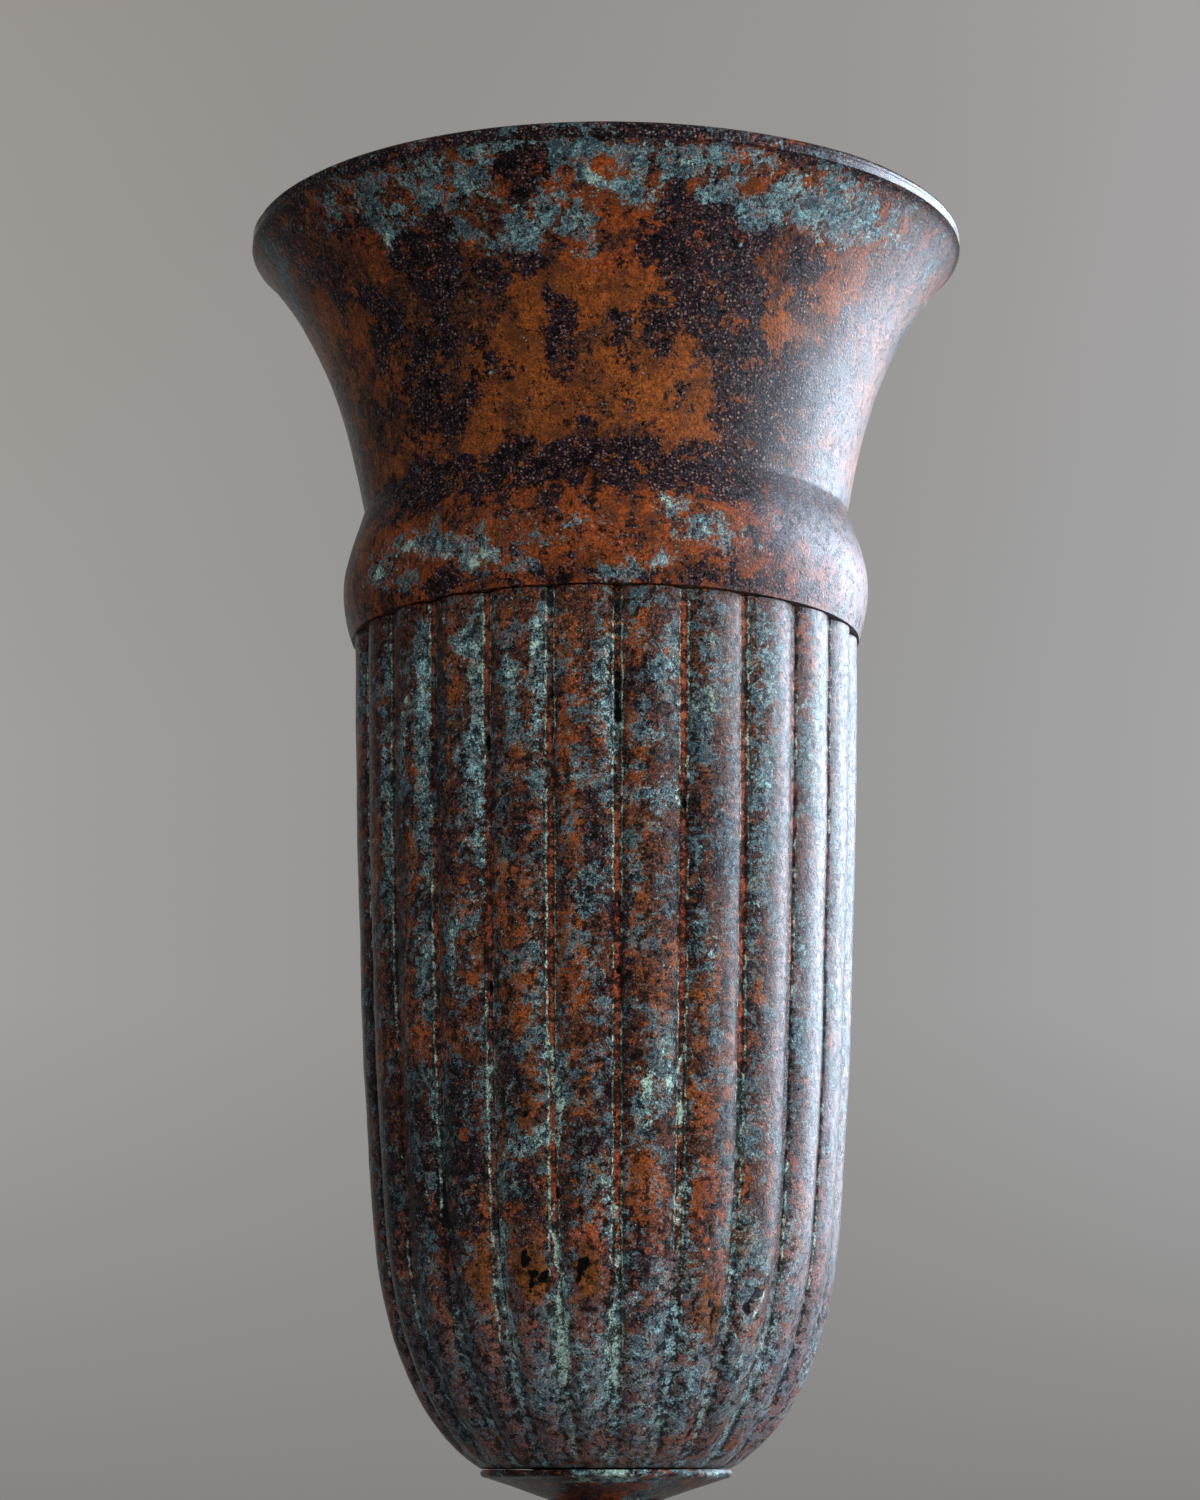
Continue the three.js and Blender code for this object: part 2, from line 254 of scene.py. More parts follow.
# Starts a node group with named inputs (name, default) and outputs (name, socket type)
def startGroup(name, inputs, outputs):
    group = bpy.data.node_groups.new(name, "ShaderNodeTree")
    for inputName, value in inputs:
        kind = "NodeSocketColor" if isinstance(value, tuple) else "NodeSocketFloat"
        socket = group.interface.new_socket(inputName, in_out="INPUT", socket_type=kind)
        socket.default_value = value
    for outputName, kind in outputs:
        group.interface.new_socket(outputName, in_out="OUTPUT", socket_type=kind)
    given = group.nodes.new("NodeGroupInput").outputs
    return group, given, group.nodes.new("NodeGroupOutput").inputs


def useGroup(tree, group, sockets):
    return addNode(tree, "ShaderNodeGroup", sockets, node_tree=group).outputs


# A lacy patch mask and the thin line round it: the painted amount moves the level
# at which two noises are cut
def makeLacyCover():
    group, given, result = startGroup(
        "lacyCover",
        [("Amount", 0.5), ("Fineness", 700.0), ("Softness", 0.012), ("Shift", 0.0), ("Rim Width", 0.02)],
        [("Mask", "NodeSocketFloat"), ("Rim", "NodeSocketFloat")],
    )

    def times(first, second):
        return calc(group, "MULTIPLY", first, second)

    moved = vectorCalc(group, "ADD", objectPlace(group), given["Shift"])
    fine = noiseOf(group, moved, given["Fineness"], 5.0, 0.72, 0.3)
    middle = noiseOf(group, moved, times(given["Fineness"], 0.26), 2.0, 0.5)
    both = calc(group, "ADD", times(fine, 0.55), times(middle, 0.45))
    level = ranged(group, given["Amount"], 0.0, 1.0, 0.70, 0.31)
    above = calc(group, "SUBTRACT", both, level)
    mask = ranged(group, above, times(given["Softness"], -1.0), given["Softness"])
    fromEdge = calc(group, "ABSOLUTE", calc(group, "SUBTRACT", above, given["Softness"]))
    rim = ranged(group, fromEdge, given["Rim Width"], times(given["Rim Width"], 0.4))
    group.links.new(mask, result["Mask"])
    group.links.new(rim, result["Rim"])
    return group


# Small uneven specks, of which only a share shows, some fainter than others
def makePinSpecks():
    group, given, result = startGroup(
        "pinSpecks",
        [("Fineness", 1100.0), ("Size", 0.35), ("Share", 0.5)],
        [("Mask", "NodeSocketFloat")],
    )

    def times(first, second):
        return calc(group, "MULTIPLY", first, second)

    place = objectPlace(group)
    shift = addNode(group, "ShaderNodeTexNoise", {
        "Vector": place, "Scale": times(given["Fineness"], 1.7), "Detail": 1.0,
    }).outputs["Color"]
    bent = vectorCalc(group, "ADD", place, vectorCalc(group, "MULTIPLY", shift, [0.55 * mm] * 3))
    cells = addNode(group, "ShaderNodeTexVoronoi", {
        "Vector": bent, "Scale": given["Fineness"], "Randomness": 1.0,
    }).outputs
    near = ranged(group, cells["Distance"], given["Size"], times(given["Size"], 0.55))
    picks = addNode(group, "ShaderNodeSeparateColor", {0: cells["Color"]}).outputs
    kept = calc(group, "LESS_THAN", picks[0], given["Share"])
    strength = ranged(group, picks[1], 0.0, 1.0, 0.25, 1.0)
    group.links.new(times(near, times(kept, strength)), result["Mask"])
    return group


# Two colours mixed by cloudy noise
def makeCloudedTone():
    group, given, result = startGroup(
        "cloudedTone",
        [("First", (0.1, 0.05, 0.03, 1.0)), ("Second", (0.2, 0.1, 0.05, 1.0)), ("Fineness", 200.0)],
        [("Tone", "NodeSocketColor")],
    )
    cloud = noiseOf(group, objectPlace(group), given["Fineness"], 5.0, 0.75)
    share = ranged(group, cloud, 0.43, 0.58)
    group.links.new(mixTone(group, share, given["First"], given["Second"]), result["Tone"])
    return group


lacyCover = makeLacyCover()
pinSpecks = makePinSpecks()
cloudedTone = makeCloudedTone()
print("patina groups made")

paintNames = (
    "rust", "red", "verdigris", "dark", "mint", "gully", "floorShown", "edgeShown", "halo", "pit",
    "polish", "bloomAndSheen",
)
patinaTones = {
    "redBright": tone(200, 84, 26),
    "redDeep": tone(108, 44, 14),
    "orangeBright": tone(178, 94, 28),
    "orangeDeep": tone(112, 56, 16),
    "ironLight": tone(112, 64, 42),
    "ironDark": tone(30, 18, 18),
    "blackWarm": tone(12, 8, 9),
    "blackCool": tone(42, 30, 52),
    "filmDark": tone(38, 50, 58),
    "filmLight": tone(78, 110, 124),
    "crust": tone(178, 226, 230),
    "crustDark": tone(86, 128, 138),
    "mint": tone(216, 244, 230),
    "mintDeep": tone(130, 174, 164),
    "channelRed": tone(186, 88, 48),
    "channelDeep": tone(120, 50, 32),
    "ochre": tone(140, 82, 26),
    "ochreDeep": tone(84, 46, 16),
    "pitBlack": tone(10, 7, 6),
    "pinhead": tone(172, 138, 128),
    "glaze": tone(34, 22, 28),
    "brown": tone(88, 48, 24),
    "olive": tone(150, 148, 108),
    # pale bluish grey, partly a patina bloom and partly painted sheen and painted light
    "bloomAndSheen": tone(133, 137, 154),
    "brass": tone(196, 176, 104),
}


# Weathered iron. Each casting has its own looks: grain makes every pattern finer, fleck and
# fleckInDark the black flecks, film and through the slate film and the rust that shows in it,
# and light and gloss the whole.
def patinaMaterial(name, looks):
    material = bpy.data.materials.new(name)
    material.use_nodes = True
    tree = material.node_tree
    surface = tree.nodes["Principled BSDF"]
    place = objectPlace(tree)
    grain, light = looks["grain"], looks["light"]
    tones = patinaTones

    def clouded(first, second, fineness):
        return useGroup(tree, cloudedTone, {
            "First": tones[first], "Second": tones[second], "Fineness": fineness * grain,
        })["Tone"]

    def cover(amount, fineness, shift=0.0, softness=0.012, rimWidth=0.02):
        return useGroup(tree, lacyCover, {
            "Amount": amount, "Fineness": fineness * grain, "Softness": softness, "Shift": shift,
            "Rim Width": rimWidth,
        })

    def specks(fineness, size, share):
        sockets = {"Fineness": fineness * grain, "Size": size, "Share": share}
        return useGroup(tree, pinSpecks, sockets)["Mask"]

    def rustOf(fineness):
        orange = clouded("orangeDeep", "orangeBright", fineness)
        rust = mixTone(tree, paint["red"], orange, clouded("redDeep", "redBright", fineness))
        return mixTone(tree, brownShare, rust, tones["brown"])

    def times(first, second):
        return calc(tree, "MULTIPLY", first, second)

    def plus(first, second):
        return calc(tree, "ADD", first, second)

    def minus(first, second):
        return calc(tree, "SUBTRACT", first, second)

    def most(first, second):
        return calc(tree, "MAXIMUM", first, second)

    # The level of a paint or noise, from one range to another
    def level(value, fromLow, fromHigh, toLow=0.0, toHigh=1.0):
        return ranged(tree, value, fromLow, fromHigh, toLow, toHigh)

    def noise(scale, detail=4.0, roughness=0.55):
        return noiseOf(tree, place, scale, detail, roughness)

    paint = {key: paintOf(tree, key) for key in paintNames}
    brownShare = level(noise(170.0 * grain, 5.0, 0.65), 0.42, 0.64, 0.0, looks["brown"])

    # Iron, rust and the dark film with its pale pinheads
    colour = clouded("ironDark", "ironLight", 1300.0)
    colour = mixTone(tree, cover(paint["rust"], 520.0)["Mask"], colour, rustOf(900.0))
    darkMask = cover(level(paint["dark"], 0.0, 1.0, 0.02, 1.08), 440.0, 0.3, 0.018)["Mask"]
    colour = mixTone(tree, times(darkMask, 0.96), colour, clouded("blackWarm", "blackCool", 900.0))
    glaze = level(paint["dark"], 0.25, 0.85, 0.0, 0.6)
    colour = mixTone(tree, glaze, colour, tones["glaze"])
    veil = level(noise(620.0 * grain, 4.0, 0.7), 0.52, 0.66, 0.0, 0.4)
    colour = mixTone(tree, times(veil, darkMask), colour, tones["brown"])
    pinheads = most(times(specks(2000.0, 0.4, 0.7), 0.6), specks(1250.0, 0.4, 0.6))
    pinShare = level(darkMask, 0.0, 1.0, 0.10, looks["pinheads"])
    colour = mixTone(tree, times(pinheads, pinShare), colour, tones["pinhead"])

    # Slate film with rust showing through, its pale crust and the pale line round its patches
    green = paint["verdigris"]
    film = cover(level(green, 0.0, 1.0, looks["filmLow"], looks["film"]), 560.0, 0.6, 0.018, 0.02)
    filmMask = times(film["Mask"], level(noise(1300.0 * grain, 2.0), 0.35, 0.6, 0.6, 0.97))
    colour = mixTone(tree, filmMask, colour, clouded("filmDark", "filmLight", 1000.0))
    showThrough = cover(level(paint["rust"], 0.0, 1.0, 0.24, looks["through"]), 820.0, 2.4)
    colour = mixTone(tree, times(showThrough["Mask"], 0.9), colour, rustOf(1400.0))
    crustMask = cover(level(green, 0.2, 1.0, 0.12, 0.5), 1000.0, 0.9)["Mask"]
    outerLine = times(film["Rim"], level(green, 0.15, 0.7, 0.1, 0.8))
    innerLine = times(showThrough["Rim"], times(film["Mask"], 0.7))
    paleSpecks = specks(1500.0, 0.36, level(green, 0.1, 0.9, looks["paleSpecks"], 0.5))
    crustMask = most(most(crustMask, most(outerLine, innerLine)), times(paleSpecks, 0.8))
    oliveShare = level(noise(70.0, 3.0), 0.5, 0.66, 0.0, looks["olive"])
    crustTone = mixTone(tree, oliveShare, clouded("crustDark", "crust", 1800.0), tones["olive"])
    colour = mixTone(tree, times(crustMask, looks["crust"]), colour, crustTone)

    # Channel floors with ragged edges, then the mint crust along them
    ragged = times(minus(noise(420.0, 4.0, 0.7), 0.5), 2.6)
    fromEdge = plus(times(minus(paint["gully"], 0.25), 8.0), ragged)
    floorMask = times(level(fromEdge, 0.12, -0.12), paint["floorShown"])
    colour = mixTone(tree, floorMask, colour, clouded("channelDeep", "channelRed", 900.0))
    smootherEdge = minus(fromEdge, times(ragged, 0.35))
    besideEdge = level(calc(tree, "ABSOLUTE", minus(smootherEdge, 0.34)), 0.32, 0.12)
    edgeMask = times(besideEdge, cover(paint["edgeShown"], 130.0, 3.2)["Mask"])
    edgeMask = times(edgeMask, level(noise(1700.0, 3.0), 0.32, 0.46))
    mintMask = most(cover(paint["mint"], 1100.0, 1.2)["Mask"], edgeMask)
    colour = mixTone(tree, mintMask, colour, clouded("mintDeep", "mint", 1800.0))
    colour = mixTone(tree, times(specks(420.0, 0.3, 0.12), mintMask), colour, tones["brass"])

    # Pale bluish-grey bloom: on the right flank and the collar's upper right it is painted sheen, and
    # low on the bowl it is partly patina and partly painted light from below
    bloomAndSheenShare = times(paint["bloomAndSheen"], level(noise(1900.0, 3.0, 0.65), 0.4, 0.62, 0.15, 1.0))
    colour = mixTone(tree, bloomAndSheenShare, colour, tones["bloomAndSheen"])

    # Casting pits with ochre round them, and black flecks over everything
    haloMask = cover(paint["halo"], 420.0, 1.5, 0.05)["Mask"]
    colour = mixTone(tree, haloMask, colour, clouded("ochreDeep", "ochre", 500.0))
    nearEdge = level(calc(tree, "ABSOLUTE", fromEdge), 1.1, 0.3, 0.0, 0.12)
    fleckAmount = level(paint["dark"], 0.0, 1.0, looks["fleck"], looks["fleckInDark"])
    flecks = cover(plus(fleckAmount, nearEdge), 1500.0, 1.8)["Mask"]
    colour = mixTone(tree, times(flecks, 0.88), colour, tones["blackWarm"])
    pitMask = cover(paint["pit"], 500.0, 2.1)["Mask"]
    colour = mixTone(tree, pitMask, colour, tones["pitBlack"])
    speckle = level(noise(2400.0, 3.0, 0.6), 0.36, 0.64, 0.54 * light, 1.3 * light)
    shade = addNode(tree, "ShaderNodeCombineColor", dict.fromkeys(range(3), speckle)).outputs[0]
    colour = mixTone(tree, 1.0, colour, shade, "MULTIPLY")
    tree.links.new(colour, surface.inputs["Base Color"])

    # Crust is duller, and the dark film and the rubbed lip shinier
    roughness = level(noise(900.0, 3.0), 0.3, 0.7, looks["rough"], looks["rough"] + 0.18)
    roughness = plus(minus(roughness, times(darkMask, 0.05)), times(crustMask, 0.14))
    roughness = minus(roughness, times(paint["polish"], 0.05))
    tree.links.new(roughness, surface.inputs["Roughness"])
    surface.inputs["Specular IOR Level"].default_value = looks["gloss"]
    coat = level(paint["polish"], 0.0, 1.0, looks["gloss"] * 0.15, 0.7)
    tree.links.new(coat, surface.inputs["Coat Weight"])
    surface.inputs["Coat Roughness"].default_value = 0.32

    height = plus(times(noise(1500.0, 4.0, 0.65), 1.2), times(crustMask, 0.5))
    for mask, rise in ((mintMask, 0.6), (filmMask, 0.2)):
        height = plus(height, times(mask, rise))
    for mask, fall in ((flecks, 0.6), (pitMask, 2.5)):
        height = minus(height, times(mask, fall))
    height = plus(height, times(pinheads, 0.5))
    bump = addNode(tree, "ShaderNodeBump", {
        "Height": height, "Distance": 0.13 * mm, "Strength": 1.0,
    })
    tree.links.new(bump.outputs[0], surface.inputs["Normal"])
    return material


def plainMaterial(name, first, second, fineness, roughness, metallic=0.0):
    material = bpy.data.materials.new(name)
    material.use_nodes = True
    tree = material.node_tree
    surface = tree.nodes["Principled BSDF"]
    colour = useGroup(tree, cloudedTone, {
        "First": tone(*first), "Second": tone(*second), "Fineness": fineness,
    })["Tone"]
    tree.links.new(colour, surface.inputs["Base Color"])
    cloud = noiseOf(tree, objectPlace(tree), fineness * 2, 4.0)
    dull = ranged(tree, cloud, 0.3, 0.7, roughness - 0.1, roughness + 0.12)
    tree.links.new(dull, surface.inputs["Roughness"])
    surface.inputs["Metallic"].default_value = metallic
    bump = addNode(tree, "ShaderNodeBump", {
        "Height": cloud, "Distance": 0.05 * mm, "Strength": 0.7,
    })
    tree.links.new(bump.outputs[0], surface.inputs["Normal"])
    return material


# Reeded beaker
beaker = {
    "foot": 83.8, "height": 225.5, "footRadius": 33.3, "bowlRadius": 62.8, "bowlHeight": 60.5,
    "topRadius": 70, "innerRadius": 63, "wallAtReeds": 7, "floor": 9, "rodHole": 5.5,
    "register": 16, "registerDepth": 2.5, "rebateRadius": 65.7, "rebateDepth": 1.8, "spigotRoom": 24,
    "reeds": 24, "reedDepth": 2.3, "firstChannel": 2.5, "step": 0.3,
    "channelHalf": 0.78, "channelFlare": 0.8,  # half width at the top, and what the foot adds
    "channelWander": [(30, 0.12), (7, 0.16), (3, 0.1)],
    "roughCast": [(28, 0.2), (9, 0.10), (3.5, 0.06)], "pitDepth": 0.7,
    "base": {"rust": 0.30, "verdigris": 0.30, "dark": 0.30, "mint": 0.05, "halo": 0.0, "pit": 0.0},
    "looks": {
        "grain": 1.25, "fleck": 0.38, "fleckInDark": 0.48, "pinheads": 0.5, "film": 0.67,
        "through": 0.55, "paleSpecks": 0.16, "olive": 0.5, "filmLow": 0.27, "rough": 0.25,
        "gloss": 1.0, "brown": 0.55, "crust": 0.95, "light": 1.16,
    },
}


def beakerOutline():
    size = beaker
    foot, top, hole = (size["footRadius"], 0), size["height"], size["rodHole"]
    register, below = size["register"], -size["registerDepth"]
    inner, rebate, rebateFloor = size["innerRadius"], size["rebateRadius"], top - size["rebateDepth"]
    roomFloor = top - size["spigotRoom"]
    bowl = sweep(foot, (0.49, 0.13), (0.88, 0.46), (size["bowlRadius"], size["bowlHeight"]))
    wall = sweep(bowl[-1], (0.54, 0.23), (0.86, 0.65), (size["topRadius"], top))
    outside = np.concatenate([bowl, wall[1:]])
    inside = innerFace(outside, size["wallAtReeds"])[::-1]
    inside = inside[(inside[:, 1] > size["floor"]) & (inside[:, 1] < roomFloor)]
    outline = outlineOf(
        ([(hole, below), (register, below), (register, 0), foot], 6),
        (outside, 1.6),
        ([(size["topRadius"], top), (rebate, top), (rebate, rebateFloor), (inner, rebateFloor)], 2.4),
        ([(inner, rebateFloor), (inner, roomFloor)], 8),
        (inside, 9),
        ([inside[-1], (inside[-1][0] - 5, size["floor"]), (hole, size["floor"])], 8),
        ([(hole, size["floor"]), (hole, below)], 6),
    )
    outline[:, 1] += size["foot"]
    return outline


# Columns of one reed as shares of its width, close together beside the channels
reedShares = [0, 0.022, 0.039, 0.050, 0.064, 0.09, 0.13, 0.18, 0.24, 0.31, 0.39]
reedShares += [0.5] + [1 - share for share in reversed(reedShares[1:])]


def beakerCasting():
    size = beaker
    pitch, first = 360 / size["reeds"], size["firstChannel"]
    casting = Casting(beakerOutline(), np.array([
        first + (reed + share) * pitch for reed in range(size["reeds"]) for share in reedShares
    ]))
    rise = casting.height - size["foot"]
    # the corner rows move as the rows beside them do
    corners = [
        int(np.argmax(casting.outline[:, 0] > size["footRadius"] - 0.3)),
        int(np.argmax(casting.outline[:, 1])),
    ]
    casting.normal[corners[0]] = casting.normal[corners[0] + 1]
    casting.normal[corners[1]] = casting.normal[corners[1] - 1]
    rowNumber = np.arange(len(casting.outline))[:, None]
    outer = (rowNumber >= corners[0]) & (rowNumber <= corners[1])
    casting.isOuter = outer & (casting.radius > 0)
    # channels wander a little and widen towards the foot
    share = ((casting.angle - first) / pitch) % 1
    arcLength = np.radians(pitch) * casting.radius
    wander = casting.roughen(size["channelWander"], 40)
    casting.fromChannel = np.minimum(share, 1 - share) * arcLength + wander
    halfWidth = size["channelHalf"] + size["channelFlare"] * (1 - smooth(rise, 20, 75))
    casting.halfWidth = halfWidth
    casting.crisp = smooth(rise, 14, 45)
    depth = size["reedDepth"] * casting.radius / size["topRadius"]
    depth = depth * (0.15 + 0.85 * smooth(rise, 0.5, 9))  # the reeds run out towards the ledge
    # past the channel the reed steps up and then rounds over
    across = np.clip((casting.fromChannel - halfWidth) / (arcLength / 2 - halfWidth), 0, 1)
    step = size["step"] * casting.crisp
    stepPart = smooth(casting.fromChannel, halfWidth, halfWidth + 0.3)
    rounded = (depth - step) * (1 - across) ** (1.8 + 0.4 * casting.crisp)
    sunk = depth - step * stepPart - ((depth - step) - rounded)
    casting.push(-np.where(casting.isOuter, sunk, 0))
    casting.push(np.where(casting.isOuter, casting.roughen(size["roughCast"], 50), 0))
    return casting


